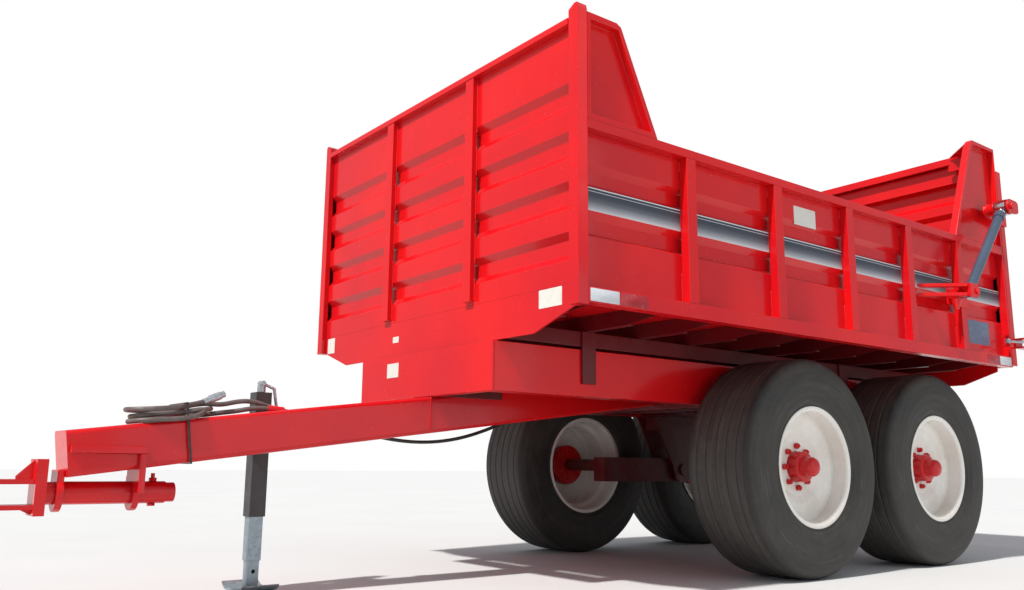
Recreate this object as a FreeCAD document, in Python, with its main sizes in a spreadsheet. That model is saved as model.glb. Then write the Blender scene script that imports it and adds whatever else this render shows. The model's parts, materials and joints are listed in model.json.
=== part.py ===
import FreeCAD, Part
import math
import os
import Sketcher

# Tandem-axle farm dump trailer on one drawbar, in millimetres.
# Frame: +Z up, ground at Z = 0, the drawbar points to -Y, the left side of the trailer is +X.
# Lengths along the trailer are laid out from the front face of the dump body (y = 0)
# and every piece is then shifted by y_shift, so that the origin is below the middle of the whole.

V = FreeCAD.Vector
doc = FreeCAD.newDocument("dump_trailer")

# ---------------------------------------------------------------- driving dimensions
sheet = doc.addObject("Spreadsheet::Sheet", "dims")
DIMS = [
    ("y_shift", -1059.0),
    # wheels and tyres
    ("tyre_r", 562.0), ("tyre_half", 208.0), ("rim_r", 310.0), ("rim_half", 192.0),
    ("track_half", 877.0), ("axle_front", 1737.6), ("axle_rear", 2974.0),
    ("bolt_circle", 108.0), ("spindle_r", 37.5), ("stub_r", 30.0), ("fit_gap", 0.05),
    # walking beams
    ("beam_in", 420.0), ("beam_w", 100.0), ("beam_z", 460.0), ("beam_tall", 152.0),
    ("beam_front", 1652.0), ("beam_len", 1407.6), ("pivot_y", 2355.8), ("pivot_z", 536.0),
    ("pivot_r", 40.0),
    # chassis
    ("rail_in", 505.0), ("rail_w", 100.5), ("rail_z", 886.0), ("rail_tall", 226.0),
    ("rail_len", 3588.0), ("wall", 8.0), ("front_plate", 12.0),
    # drawbar
    ("bar_w", 200.0), ("bar_tall", 178.0), ("bar_len", 3260.0), ("bar_slope", 7.407),
    ("bar_wall", 8.0), ("bar_corner", 20.0),
    # hitch
    ("hitch_z", 436.0), ("sleeve_r", 44.0), ("shaft_r", 30.0), ("fork_hole", 17.0),
    # jack
    ("jack_x", -184.5), ("jack_y", -747.5), ("jack_tube", 75.0), ("ram_tube", 62.0),
    ("leg_tube", 52.0),
    # dump body
    ("body_half", 1186.5), ("body_len", 3797.0), ("flat_x", 1141.0), ("groove", 25.0),
    ("sheet_t", 4.0), ("floor_z", 1275.0), ("floor_t", 6.0), ("side_top", 2005.0),
    ("front_top", 2465.0), ("sill_low", 1115.0), ("side_low", 1213.0),
    # hinges and cylinders
    ("hinge_y", 3690.0), ("hinge_z", 1060.0), ("hinge_r", 25.0),
    ("gate_y", 3828.0), ("gate_z", 2600.0), ("gate_pin", 14.0),
    ("cyl_x", 1300.0), ("cyl_low_y", 3035.0), ("cyl_low_z", 1602.0),
    ("cyl_top_y", 3592.0), ("cyl_top_z", 2230.0), ("barrel_r", 29.0), ("rod_r", 17.0),
    ("hoist_low_y", 1900.0), ("hoist_low_z", 930.0), ("hoist_top_y", 3050.0),
    ("hoist_top_z", 1150.0), ("hoist_r", 52.0), ("hoist_rod", 32.0),
    # hoses
    ("hose_r", 10.5),
]
S = {}
for row, (alias, value) in enumerate(DIMS, start=1):
    sheet.set("A%d" % row, alias)
    sheet.set("B%d" % row, "%s" % value)
    sheet.setAlias("B%d" % row, alias)
    S[alias] = float(value)
doc.recompute()

NODES = {}
_n = [0]


def uid(base):
    _n[0] += 1
    return "%s_%03d" % (base, _n[0])


def bind(obj, prop, value):
    """A number is set; a text is an expression on the sheet, with S. for its name."""
    if isinstance(value, str):
        obj.setExpression(prop, value.replace("S.", "dims."))
    else:
        path = prop.split(".")
        if len(path) == 1:
            setattr(obj, prop, value)
        else:
            obj.setExpression(prop, "%.6f" % value)


def place(obj, x=0.0, y=0.0, z=0.0, rot=None):
    if rot is not None:
        obj.Placement = FreeCAD.Placement(V(0, 0, 0), rot)
    for axis, value in (("x", x), ("y", y), ("z", z)):
        if value != 0.0:
            bind(obj, "Placement.Base." + axis, value)
    return obj


def sub(a, b):
    return "(%s) - (%s)" % (b, a)


def box(x0, x1, y0, y1, z0, z1, base="block"):
    """An upright block between two corners, each a number or a sheet expression."""
    o = doc.addObject("Part::Box", uid(base))
    for prop, lo, hi in (("Length", x0, x1), ("Width", y0, y1), ("Height", z0, z1)):
        if isinstance(lo, str) or isinstance(hi, str):
            bind(o, prop, sub(lo, hi))
        else:
            setattr(o, prop, hi - lo)
    return place(o, x0, y0, z0)


def cyl(axis, r, a0, a1, u, v, base="round"):
    """A cylinder along X, Y or Z from a0 to a1; u, v are the other two coordinates in order."""
    o = doc.addObject("Part::Cylinder", uid(base))
    bind(o, "Radius", r)
    if isinstance(a0, str) or isinstance(a1, str):
        bind(o, "Height", sub(a0, a1))
    else:
        o.Height = a1 - a0
    if axis == "X":
        return place(o, a0, u, v, FreeCAD.Rotation(V(0, 1, 0), 90))
    if axis == "Y":
        return place(o, u, a0, v, FreeCAD.Rotation(V(1, 0, 0), -90))
    return place(o, u, v, a0)


def fuse(parts, base="weldment"):
    if len(parts) == 1:
        return parts[0]
    o = doc.addObject("Part::MultiFuse", uid(base))
    o.Shapes = parts
    return o


def cut(a, b, base="cut"):
    o = doc.addObject("Part::Cut", uid(base))
    o.Base = a
    o.Tool = b
    return o


def group(parts, base="group"):
    o = doc.addObject("Part::Compound", uid(base))
    o.Links = parts
    return o


def tube_x(x0, x1, y0, y1, z0, z1, t):
    e = 1.0
    return cut(box(x0, x1, y0, y1, z0, z1), box(off(x0, -e), off(x1, e), off(y0, t), off(y1, -t), off(z0, t), off(z1, -t)))


def tube_y(x0, x1, y0, y1, z0, z1, t):
    e = 1.0
    return cut(box(x0, x1, y0, y1, z0, z1), box(off(x0, t), off(x1, -t), off(y0, -e), off(y1, e), off(z0, t), off(z1, -t)))


def tube_z(x0, x1, y0, y1, z0, z1, t):
    e = 1.0
    return cut(box(x0, x1, y0, y1, z0, z1), box(off(x0, t), off(x1, -t), off(y0, t), off(y1, -t), off(z0, -e), off(z1, e)))


def off(v, d):
    return "%s + (%s)" % (v, d) if isinstance(v, str) else v + d


def plane_of(body, role):
    for f in body.Origin.OriginFeatures:
        if f.Role == role:
            return f
    raise ValueError(role)


def draw(sk, pts, closed=True):
    """A closed outline of straight lines, joined end to end."""
    first = len(sk.Geometry)
    n = len(pts)
    for i in range(n):
        a, b = pts[i], pts[(i + 1) % n]
        sk.addGeometry(Part.LineSegment(V(a[0], a[1], 0), V(b[0], b[1], 0)), False)
    for i in range(n):
        sk.addConstraint(Sketcher.Constraint("Coincident", first + i, 2, first + (i + 1) % n, 1))


def pad(plane, outlines, length, base="plate", reverse=False):
    """A PartDesign body: a sketch on an origin plane and a pad; returns the body."""
    body = doc.addObject("PartDesign::Body", uid(base))
    sk = body.newObject("Sketcher::SketchObject", uid("outline"))
    sk.AttachmentSupport = [(plane_of(body, plane), "")]
    sk.MapMode = "FlatFace"
    doc.recompute()
    for pts in outlines:
        draw(sk, pts)
    p = body.newObject("PartDesign::Pad", uid("pad"))
    p.Profile = sk
    bind(p, "Length", length)
    p.Reversed = reverse
    body.Tip = p
    return body


def turn(pts, base="turned"):
    """A PartDesign body: the outline (along, radius) turned about its own X axis."""
    body = doc.addObject("PartDesign::Body", uid(base))
    sk = body.newObject("Sketcher::SketchObject", uid("profile"))
    sk.AttachmentSupport = [(plane_of(body, "XY_Plane"), "")]
    sk.MapMode = "FlatFace"
    doc.recompute()
    draw(sk, pts)
    r = body.newObject("PartDesign::Revolution", uid("turn"))
    r.Profile = sk
    r.ReferenceAxis = (sk, ["H_Axis"])
    r.Angle = 360.0
    body.Tip = r
    return body


def node(name, obj):
    """The finished sub-part: one object with its own Label, shifted along Y as a whole."""
    if isinstance(obj, list):
        obj = group(obj, "set")
    else:
        obj = group([obj], "set")
    obj.Label = name
    obj.setExpression("Placement.Base.y", "dims.y_shift")
    NODES[name] = obj
    return obj


# in a body on XZ_Plane the sketch runs X right and Z up, and a pad goes to -Y;
# on YZ_Plane it runs Y right and Z up, and a pad goes to +X.

# ================================================================= CHASSIS
def rail(side):
    lo, hi = "S.rail_in", "S.rail_in + S.rail_w"
    if side < 0:
        lo, hi = "-(S.rail_in + S.rail_w)", "-S.rail_in"
    return tube_y(lo, hi, "S.front_plate", "S.front_plate + S.rail_len", "S.rail_z", "S.rail_z + S.rail_tall", 8.0)


node("frame_rail_left", rail(1))
node("frame_rail_right", rail(-1))
node("frame_front_plate", box("-(S.rail_in + S.rail_w)", "S.rail_in + S.rail_w", 0.0, "S.front_plate",
                              "S.rail_z - 0.5", "S.rail_z + S.rail_tall"))

cross = []
RT = "S.rail_z + S.rail_tall"
cross.append(tube_x("-S.rail_in", "S.rail_in", 700.0, 770.0, 996.0, RT, 6.0))            # saddle above the drawbar
cross.append(tube_x("-S.rail_in", "S.rail_in", 1580.0, 1650.0, "S.rail_z", RT, 6.0))     # end of the drawbar
cross.append(tube_x("-S.rail_in", "S.rail_in", 3500.0, 3570.0, "S.rail_z", RT, 6.0))     # rear
cross.append(box("-S.rail_in", "S.rail_in", 2080.0, 2630.0, "S.rail_z", "S.rail_z + 16"))  # trunnion plate
for s in (1, -1):
    lo, hi = (200.0, "S.rail_in") if s > 0 else ("-S.rail_in", -200.0)
    cross.append(tube_y(lo, hi, 2080.0, 2630.0, "S.rail_z + 16", "S.rail_z + 116", 6.0))
    g0, g1 = (100.0, 112.0) if s > 0 else (-112.0, -100.0)
    cross.append(box(g0, g1, "S.front_plate", 430.0, "S.rail_z", 1060.0))                # cheeks beside the drawbar
node("frame_crossmembers", cross)

# drawbar: a closed rectangular tube, rounded corners, running down to the front
def rrect(sk, hw, hh, r):
    c = [(hw - r, hh - r, 0, 90), (-(hw - r), hh - r, 90, 180), (-(hw - r), -(hh - r), 180, 270), (hw - r, -(hh - r), 270, 360)]
    first = len(sk.Geometry)
    k = 0
    for i, (cx, cy, a0, a1) in enumerate(c):
        arc = Part.ArcOfCircle(Part.Circle(V(cx, cy, 0), V(0, 0, 1), r), math.radians(a0), math.radians(a1))
        sk.addGeometry(arc, False)
        nx, ny, b0, _ = c[(i + 1) % 4]
        p = V(cx + r * math.cos(math.radians(a1)), cy + r * math.sin(math.radians(a1)), 0)
        q = V(nx + r * math.cos(math.radians(b0)), ny + r * math.sin(math.radians(b0)), 0)
        sk.addGeometry(Part.LineSegment(p, q), False)
    for i in range(8):
        sk.addConstraint(Sketcher.Constraint("Coincident", first + i, 2, first + (i + 1) % 8, 1))


def bar_body(hollow):
    body = doc.addObject("PartDesign::Body", uid("bar"))
    sk = body.newObject("Sketcher::SketchObject", uid("section"))
    sk.AttachmentSupport = [(plane_of(body, "XY_Plane"), "")]
    sk.MapMode = "FlatFace"
    doc.recompute()
    rrect(sk, S["bar_w"] / 2, S["bar_tall"] / 2, S["bar_corner"])
    p = body.newObject("PartDesign::Pad", uid("pad"))
    p.Profile = sk
    bind(p, "Length", "S.bar_len")
    body.Tip = p
    if hollow:
        doc.recompute()
        full = body.Shape.Volume
        s2 = body.newObject("Sketcher::SketchObject", uid("bore"))
        s2.AttachmentSupport = [(plane_of(body, "XY_Plane"), "")]
        s2.MapMode = "FlatFace"
        s2.AttachmentOffset = FreeCAD.Placement(V(0, 0, 12), FreeCAD.Rotation())
        doc.recompute()
        t = S["bar_wall"]
        rrect(s2, S["bar_w"] / 2 - t, S["bar_tall"] / 2 - t, S["bar_corner"] - t)
        k = body.newObject("PartDesign::Pocket", uid("bore_cut"))
        k.Profile = s2
        k.Length = S["bar_len"] + 50
        k.Reversed = True
        body.Tip = k
        doc.recompute()
        if body.Shape.Volume > 0.5 * full:
            raise RuntimeError("the drawbar's bore cut nothing")
    a = math.radians(S["bar_slope"])
    # its lower front edge is at y = -1601, z = 496; the section's middle is half a height above it
    n = V(0, -math.sin(a), math.cos(a))
    c = V(0, -1601.0, 496.0) + n * (S["bar_tall"] / 2)
    body.Placement = FreeCAD.Placement(c, FreeCAD.Rotation(V(1, 0, 0), -(90 - S["bar_slope"])))
    return body


bar = cut(bar_body(True), box(-300, 300, 1580.0, 2200, 600, 1400), "bar")
# bosses where the two hoses go in through the top, and the blocks that hold the hanging hose at the side
HOSE_A_END, HOSE_B_END = (0.0, -759.0, 796.0), (44.0, -807.0, 790.5)
bosses = []
for e, d in ((HOSE_A_END, V(-1.0, 45.0, -12.0)), (HOSE_B_END, V(7.0, 44.0, -3.0))):
    o = doc.addObject("Part::Cylinder", uid("boss"))
    o.Radius = 15.0
    o.Height = 70.0
    o.Placement = FreeCAD.Placement(V(*e), FreeCAD.Rotation(V(0, 0, 1), d))
    bosses.append(o)
bosses.append(box(-132.0, -99.0, -420.0, -380.0, 700.0, 732.0))
bosses.append(box(-132.0, -99.0, 798.0, 838.0, 809.0, 837.0))
node("tongue_beam", fuse([bar] + bosses))

# hangers of the walking beams and their fixed shafts
hang = []
HZ = S["pivot_z"]
for s in (1, -1):
    for (a, b) in ((388.0, 406.0), (534.0, 552.0)):
        pts = [(2080, S["rail_z"]), (2630, S["rail_z"]), (2450, HZ + 20), (2430, HZ - 50), (2385, HZ - 84), (2326, HZ - 84),
               (2281, HZ - 50), (2261, HZ + 20)]
        pl = pad("YZ_Plane", [pts], b - a, "hanger")
        place(pl, a if s > 0 else -b, 0, 0)
        hang.append(cut(pl, cyl("X", "S.pivot_r", (a if s > 0 else -b) - 5, (b if s > 0 else -a) + 5, "S.pivot_y", "S.pivot_z")))
    # tie plates between the two cheeks, in front of and behind the beam's stroke
    for (y0, y1) in ((2150.0, 2166.0), (2545.0, 2561.0)):
        hang.append(box(406.0 if s > 0 else -534.0, 534.0 if s > 0 else -406.0, y0, y1, 800.0, "S.rail_z"))
for s in (1, -1):
    hang.append(cyl("X", "S.pivot_r", 376.0 if s > 0 else -566.0, 566.0 if s > 0 else -376.0, "S.pivot_y", "S.pivot_z"))
node("beam_hangers", hang)

# rear hinge of the body: two ears at the end of each rail, with the fixed pin
ears = []
for s in (1, -1):
    ee = []
    for (a, b) in ((505.0, 535.0), (585.5, 605.5)):
        pts = [(3600, 1000), (3690, 1012), (3725, 1027), (3738, 1060), (3725, 1093), (3690, 1108), (3600, 1108)]
        pl = pad("YZ_Plane", [pts], b - a, "ear")
        place(pl, a if s > 0 else -b, 0, 0)
        ee.append(pl)
    ee.append(cyl("X", "S.hinge_r", 505.0 if s > 0 else -615.0, 615.0 if s > 0 else -505.0, "S.hinge_y", "S.hinge_z"))
    ears.append(fuse(ee))
node("hinge_blocks", ears)

# foot of the hoist: two cheeks on a crossmember and a pin
hb = [tube_x("-S.rail_in", "S.rail_in", 1780.0, 1840.0, "S.rail_z", "S.rail_z + 150", 6.0)]
hc = []
for (a, b) in ((64.0, 84.0), (-84.0, -64.0)):
    pts = [(1840, 886), (1960, 886), (1960, 950), (1930, 985), (1840, 1010)]
    pl = pad("YZ_Plane", [pts], b - a, "cheek")
    place(pl, a, 0, 0)
    hc.append(pl)
hc.append(cyl("X", 22.0, -92.0, 92.0, "S.hoist_low_y", "S.hoist_low_z"))
hb.append(fuse(hc))
node("hoist_base", hb)

# hitch: two ears under the nose of the drawbar, the sleeve between them and the side shelf
bar_out = bar_body(False)
HT = S["hitch_z"]
front_ear = fuse([cyl("Y", 71.0, -1629.0, -1604.0, 0.0, "S.hitch_z"), box(-58, 58, -1629.0, -1604.0, "S.hitch_z", 524.0)])
front_ear = cut(cut(front_ear, bar_out), cyl("Y", "S.shaft_r + S.fit_gap", -1640, -1590, 0.0, "S.hitch_z"))
rear_ear = fuse([cyl("Y", 71.0, -1351.0, -1326.0, 0.0, "S.hitch_z"), box(-58, 124, -1351.0, -1326.0, "S.hitch_z", 588.0)])
rear_ear = cut(cut(rear_ear, bar_out), cyl("Y", "S.shaft_r + S.fit_gap", -1360, -1310, 0.0, "S.hitch_z"))
rear_ear = cut(rear_ear, box(-100, -50, -1360, -1310, 500, 700))
node("hitch_ears", [front_ear, rear_ear, box(100.0, 132.0, -1605.0, -1326.0, 588.0, 616.0)])
node("hitch_sleeve", cut(cyl("Y", "S.sleeve_r", -1604.0, -1351.0, 0.0, "S.hitch_z"),
                         cyl("Y", "S.shaft_r + S.fit_gap", -1610.0, -1345.0, 0.0, "S.hitch_z")))

# jack: square tube on the right side of the drawbar
JX, JY = "S.jack_x", "S.jack_y"
jt = tube_z("S.jack_x - S.jack_tube / 2", "S.jack_x + S.jack_tube / 2", "S.jack_y - S.jack_tube / 2", "S.jack_y + S.jack_tube / 2",
            318.0, 868.0, 4.5)
cap = box("S.jack_x - S.jack_tube / 2", "S.jack_x + S.jack_tube / 2", "S.jack_y - S.jack_tube / 2", "S.jack_y + S.jack_tube / 2", 868.0, 877.0)
cap = cut(cap, cyl("Z", 11.2, 860.0, 890.0, JX, JY))
jm = cut(box("S.jack_x + S.jack_tube / 2", -90.0, -812.0, -683.0, 610.0, 760.0), bar_body(False))
node("jack_tube", [fuse([jt, cap]), jm])

# ================================================================= HITCH SWIVEL
fork = [box(-65, 65, -1703.0, -1664.0, 354.0, 564.0)]
for (z0, z1) in ((471.0, 489.0), (377.0, 395.0)):
    fork.append(box(-50, 50, -1815.0, -1703.0, z0, z1))
    fork.append(cyl("Z", 50.0, z0, z1, 0.0, -1815.0))
gus = pad("YZ_Plane", [[(-1703, 489), (-1762, 489), (-1762, 500), (-1703, 560)]], 16.0, "gusset")
place(gus, -8.0, 0, 0)
fork.append(gus)
gus2 = pad("YZ_Plane", [[(-1703, 377), (-1740, 377), (-1703, 358)]], 16.0, "gusset")
place(gus2, -8.0, 0, 0)
fork.append(gus2)
fork.append(cyl("Y", 43.0, -1664.0, -1630.0, 0.0, "S.hitch_z"))
fork.append(cyl("Y", "S.shaft_r", -1630.0, -1178.0, 0.0, "S.hitch_z"))
fk_ = fuse(fork)
for (z0, z1) in ((465.0, 495.0), (370.0, 400.0)):
    fk_ = cut(fk_, cyl("Z", "S.fork_hole", z0, z1, 0.0, -1815.0))
node("clevis_fork", cut(fk_, cyl("Z", 8.2, 380.0, 500.0, 0.0, -1262.0)))
collar = fuse([cyl("Y", 44.0, -1324.0, -1214.0, 0.0, "S.hitch_z"), cyl("Y", 39.0, -1214.0, -1178.0, 0.0, "S.hitch_z")])
collar = cut(collar, cyl("Y", "S.shaft_r + S.fit_gap", -1330.0, -1170.0, 0.0, "S.hitch_z"))
collar = cut(collar, cyl("Z", 8.2, 380.0, 500.0, 0.0, -1262.0))
hexn = doc.addObject("Part::Prism", uid("nut"))
hexn.Polygon = 6
hexn.Circumradius = 16.0
hexn.Height = 14.0
place(hexn, 0.0, -1262.0, 480.0)
hexb = doc.addObject("Part::Prism", uid("bolt_head"))
hexb.Polygon = 6
hexb.Circumradius = 16.0
hexb.Height = 10.0
place(hexb, 0.0, -1262.0, 382.0)
bolt = fuse([cyl("Z", 8.0, 384.0, 512.0, 0.0, -1262.0), hexn, hexb])
node("clevis_collar", [collar, bolt])

# ================================================================= JACK RAM, LEG, CRANK
def sq(tube, z0, z1, t):
    h = "S.%s / 2" % tube
    return tube_z("S.jack_x - " + h, "S.jack_x + " + h, "S.jack_y - " + h, "S.jack_y + " + h, z0, z1, t)


node("jack_ram", sq("ram_tube", 126.0, 640.0, 4.0))
leg = cut(sq("leg_tube", 8.0, 400.0, 4.0), cyl("X", 9.0, -260.0, -100.0, JY, 80.0))
foot_pts = [(-119, 31), (-110, 23), (-92, 14), (-64, 8), (64, 8), (92, 14), (110, 23), (119, 31), (122, 26), (112, 16), (93, 6), (62, 0),
            (-62, 0), (-93, 6), (-112, 16), (-122, 26)]
foot = pad("XZ_Plane", [[(S["jack_x"] + a, b) for a, b in foot_pts]], 170.0, "foot")
place(foot, 0, S["jack_y"] + 85.0, 0)
node("jack_foot", fuse([leg, foot]))
shaft = cyl("Z", 11.0, 700.0, 930.0, JX, JY)
hub = cyl("Z", 19.0, 880.0, 912.0, JX, JY)
knob = cyl("X", 11.0, "S.jack_x - 24", "S.jack_x + 24", JY, 921.0)
pts = [V(S["jack_x"], S["jack_y"] + 4, 921), V(S["jack_x"], S["jack_y"] + 62, 897), V(S["jack_x"], S["jack_y"] + 78, 812)]
arm = []
for a, b in zip(pts[:-1], pts[1:]):
    o = doc.addObject("Part::Cylinder", uid("arm"))
    o.Radius = 7.0
    o.Height = (b - a).Length
    o.Placement = FreeCAD.Placement(a, FreeCAD.Rotation(V(0, 0, 1), b - a))
    arm.append(o)
    ball = doc.addObject("Part::Sphere", uid("bend"))
    ball.Radius = 7.0
    place(ball, b.x, b.y, b.z)
    arm.append(ball)
node("jack_crank", fuse([shaft, hub, knob] + arm))

# ================================================================= WALKING BEAMS
def beam(s):
    lo, hi = ("S.beam_in", "S.beam_in + S.beam_w") if s > 0 else ("-(S.beam_in + S.beam_w)", "-S.beam_in")
    outer = box(lo, hi, "S.beam_front", "S.beam_front + S.beam_len", "S.beam_z", "S.beam_z + S.beam_tall")
    inner = box(off(lo, 8), off(hi, -8), "S.beam_front + 8", "S.beam_front + S.beam_len - 8", "S.beam_z + 8", "S.beam_z + S.beam_tall - 8")
    bo0, bo1 = (410.0, 530.0) if s > 0 else (-530.0, -410.0)
    w = fuse([cut(outer, inner), cyl("X", 62.0, bo0, bo1, "S.pivot_y", "S.pivot_z")])
    w = cut(w, cyl("X", "S.pivot_r + S.fit_gap", -700.0 if s < 0 else 300.0, -300.0 if s < 0 else 700.0, "S.pivot_y", "S.pivot_z"))
    b = [w]
    for y in ("S.axle_front", "S.axle_rear"):
        if s > 0:
            b.append(fuse([cyl("X", "S.spindle_r", 520.0, 860.0, y, "S.tyre_r"), cyl("X", 50.0, 520.0, 552.0, y, "S.tyre_r"),
                           cyl("X", "S.stub_r", 860.0, 1012.0, y, "S.tyre_r")]))
        else:
            b.append(fuse([cyl("X", "S.spindle_r", -860.0, -520.0, y, "S.tyre_r"), cyl("X", 50.0, -552.0, -520.0, y, "S.tyre_r"),
                           cyl("X", "S.stub_r", -1012.0, -860.0, y, "S.tyre_r")]))
    return b


node("walking_beam_left", beam(1))
node("walking_beam_right", beam(-1))

# ================================================================= WHEELS
TR = S["tyre_r"]
def tyre_profile():
    half = [(185, 297.5), (185, 317), (196, 334), (205, 385), (208, 440), (206, 490), (199, 522), (187, 544), (170, 556), (150, 561)]
    gro = []
    for c in (118.0, 60.0, 0.0, -60.0, -118.0):
        gro += [(c + 5, TR), (c + 4, TR - 9), (c - 4, TR - 9), (c - 5, TR)]
    outer = half + [(142, TR)] + gro + [(-142, TR)] + [(-a, b) for a, b in reversed(half)]
    inner_r = [(160, 297.5), (163, 325), (181, 385), (184, 440), (181, 485), (165, 522), (140, 533)]
    inner = [(-a, b) for a, b in inner_r] + list(reversed(inner_r))
    return outer + inner


def rim_profile():
    o = [(-192, 310), (-186, 310), (-186, 297), (-176, 292), (-100, 288), (-82, 262), (-22, 262), (-2, 288), (176, 292), (186, 297), (186, 310), (192, 310)]
    i = [(192, 292), (181, 283), (100, 280), (100, 262), (88, 238), (88, 190), (70, 150), (70, 79), (58, 79), (58, 152), (76, 194), (76, 240), (86, 266), (86, 280),
         (6, 280), (-14, 254), (-90, 254), (-108, 280), (-181, 283), (-192, 292)]
    return o + i


def hub_profile():
    return [(-10, 30.05), (-10, 124), (-4, 130), (50, 130), (58, 124), (58, 78), (124, 78), (130, 72), (130, 53), (172, 50), (186, 42), (195, 26), (198, 0),
            (140, 0), (140, 30.05)]


WHEELS = [("left_front", 1, "S.axle_front"), ("left_rear", 1, "S.axle_rear"), ("right_front", -1, "S.axle_front"), ("right_rear", -1, "S.axle_rear")]
for name, s, ay in WHEELS:
    rot = FreeCAD.Rotation(V(0, 0, 1), 0 if s > 0 else 180)
    xs = "S.track_half" if s > 0 else "-S.track_half"
    t = place(turn(tyre_profile(), "tyre"), xs, ay, "S.tyre_r", rot)
    node("tyre_" + name, t)
    r = turn(rim_profile(), "rim")
    holes = []
    for k in range(8):
        a = math.radians(45 * k)
        holes.append(cyl("X", 9.0, 50.0, 80.0, S["bolt_circle"] * math.cos(a), S["bolt_circle"] * math.sin(a), "hole"))
    node("rim_" + name, place(cut(r, fuse(holes)), xs, ay, "S.tyre_r", rot))
    h = turn(hub_profile(), "hub")
    nuts = [h]
    for k in range(8):
        a = math.radians(45 * k)
        p = doc.addObject("Part::Prism", uid("nut"))
        p.Polygon = 6
        p.Circumradius = 15.5
        p.Height = 22.0
        p.Placement = FreeCAD.Placement(V(70, S["bolt_circle"] * math.cos(a), S["bolt_circle"] * math.sin(a)), FreeCAD.Rotation(V(0, 1, 0), 90))
        st = cyl("X", 8.5, 40.0, 98.0, S["bolt_circle"] * math.cos(a), S["bolt_circle"] * math.sin(a), "stud")
        nuts += [p, st]
    node("hub_" + name, place(fuse(nuts), xs, ay, "S.tyre_r", rot))

# ================================================================= DUMP BODY
FX, G, T = S["flat_x"], S["groove"], S["sheet_t"]
FZ = S["floor_z"] + S["floor_t"]
node("floor_plate", box("-(S.flat_x - 14)", "S.flat_x - 14", 40.0, "S.body_len - 15", "S.floor_z", "S.floor_z + S.floor_t"))

CROSS_Y = [160.0, 577.0, 950.0, 1330.0, 1690.0, 2050.0, 2420.0, 2850.0, 3250.0, 3600.0]
cm = []
for y in CROSS_Y:
    # a channel with ends that taper up to the side rail
    pts = [(-1127, 1275), (1127, 1275), (1127, 1228), (900, 1200), (-900, 1200), (-1127, 1228)]
    web = pad("XZ_Plane", [pts], 6.0, "web")
    place(web, 0, y - 17.0, 0)
    low = box(-900.0, 900.0, y - 23.0, y + 23.0, 1200.0, 1207.0)
    top = box(-1090.0, 1090.0, y - 23.0, y + 23.0, 1268.0, 1275.0)
    cm.append(fuse([web, low, top]))
node("floor_crossmembers", cm)

sills = []
for s in (1, -1):
    x0, x1 = (497.0, 607.0) if s > 0 else (-607.0, -497.0)
    sl = [tube_y(x0, x1, 40.0, 3782.0, 1126.0, 1200.0, 6.0)]
    # hinge lug under the sill's end
    a, b = (537.5, 583.0) if s > 0 else (-583.0, -537.5)
    pts = [(3642, 1126), (3740, 1126), (3732, 1045), (3712, 1020), (3690, 1012), (3668, 1020), (3650, 1045)]
    lug = pad("YZ_Plane", [pts], b - a, "lug")
    place(lug, a, 0, 0)
    # guide strap over the side of the rail
    sl.append(lug)
    w = fuse(sl)
    w = cut(w, cyl("X", "S.hinge_r + S.fit_gap", a - 2.0, b + 2.0, "S.hinge_y", "S.hinge_z"))
    sills.append(w)
    g0, g1 = (607.0, 619.0) if s > 0 else (-619.0, -607.0)
    for yy in (533.0, 2700.0):
        sills.append(box(g0, g1, yy, yy + 88.0, 945.0 if yy < 1000 else 1000.0, 1200.0))
# cheeks and pin at the top of the hoist, between two crossmembers under the floor
hk = []
for (a, b) in ((64.0, 84.0), (-84.0, -64.0)):
    pts = [(2873, 1200), (2873, 1275), (3227, 1275), (3227, 1200), (3130, 1092), (3050, 1075), (2970, 1092)]
    pl = pad("YZ_Plane", [pts], b - a, "cheek")
    place(pl, a, 0, 0)
    hk.append(pl)
hk.append(cyl("X", 20.0, -92.0, 92.0, "S.hoist_top_y", "S.hoist_top_z"))
sills.append(fuse(hk))
node("body_sills", sills)


def sheet_profile(zs, u_out, depth, t):
    """Ribbed sheet: zs lists (z, recessed) from the bottom up; u grows inward."""
    outer = [(u_out + (depth if rec else 0.0), z) for z, rec in zs]
    inner = [(u + t, z) for u, z in reversed(outer)]
    return outer + inner


# front sheet, across X, with four level grooves and a chamfered apron below
zs = [(1300, 0), (1398, 0), (1430, 1), (1490, 1), (1522, 0), (1618, 0), (1650, 1), (1710, 1), (1742, 0), (1838, 0), (1870, 1), (1930, 1), (1962, 0),
      (2058, 0), (2090, 1), (2150, 1), (2182, 0), (2435, 0)]
FSH = pad("YZ_Plane", [sheet_profile(zs, 28.0, G, T)], 2 * 1127.0, "front")
place(FSH, -1127.0, 0, 0)
node("front_sheet", FSH)

# front frame: corner posts, two posts and the cap rail; apron cover plate at the bottom
ff = []
for s in (1, -1):
    a, b = (1127.0, "S.body_half") if s > 0 else ("-S.body_half", -1127.0)
    ff.append(box(a, b, 0.0, 57.0, 1203.0, 2500.0))
    pk = pad("XZ_Plane", [[(s * 1127.0, 2500.0), (s * 1186.5, 2500.0), (s * 1182.0, 2520.0), (s * 1165.0, 2520.0)]], 57.0, "tip")
    place(pk, 0, 57.0, 0)
    ff.append(pk)
for xc in (-385.0, 385.0):
    ff.append(box(xc - 33.0, xc + 33.0, 0.0, 28.0, 1315.0, 2435.0))
ff.append(box(-1127.0, 1127.0, -4.0, 57.0, 2435.0, "S.front_top"))
# apron: the plate below the front sheet, with cut corners
ap = pad("XZ_Plane", [[(-862, 1115), (862, 1115), (1127, 1203), (1127, 1300), (-1127, 1300), (-1127, 1203)]], 12.0, "apron")
place(ap, 0, 40.0, 0)
ff.append(ap)
node("front_frame", ff)

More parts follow.
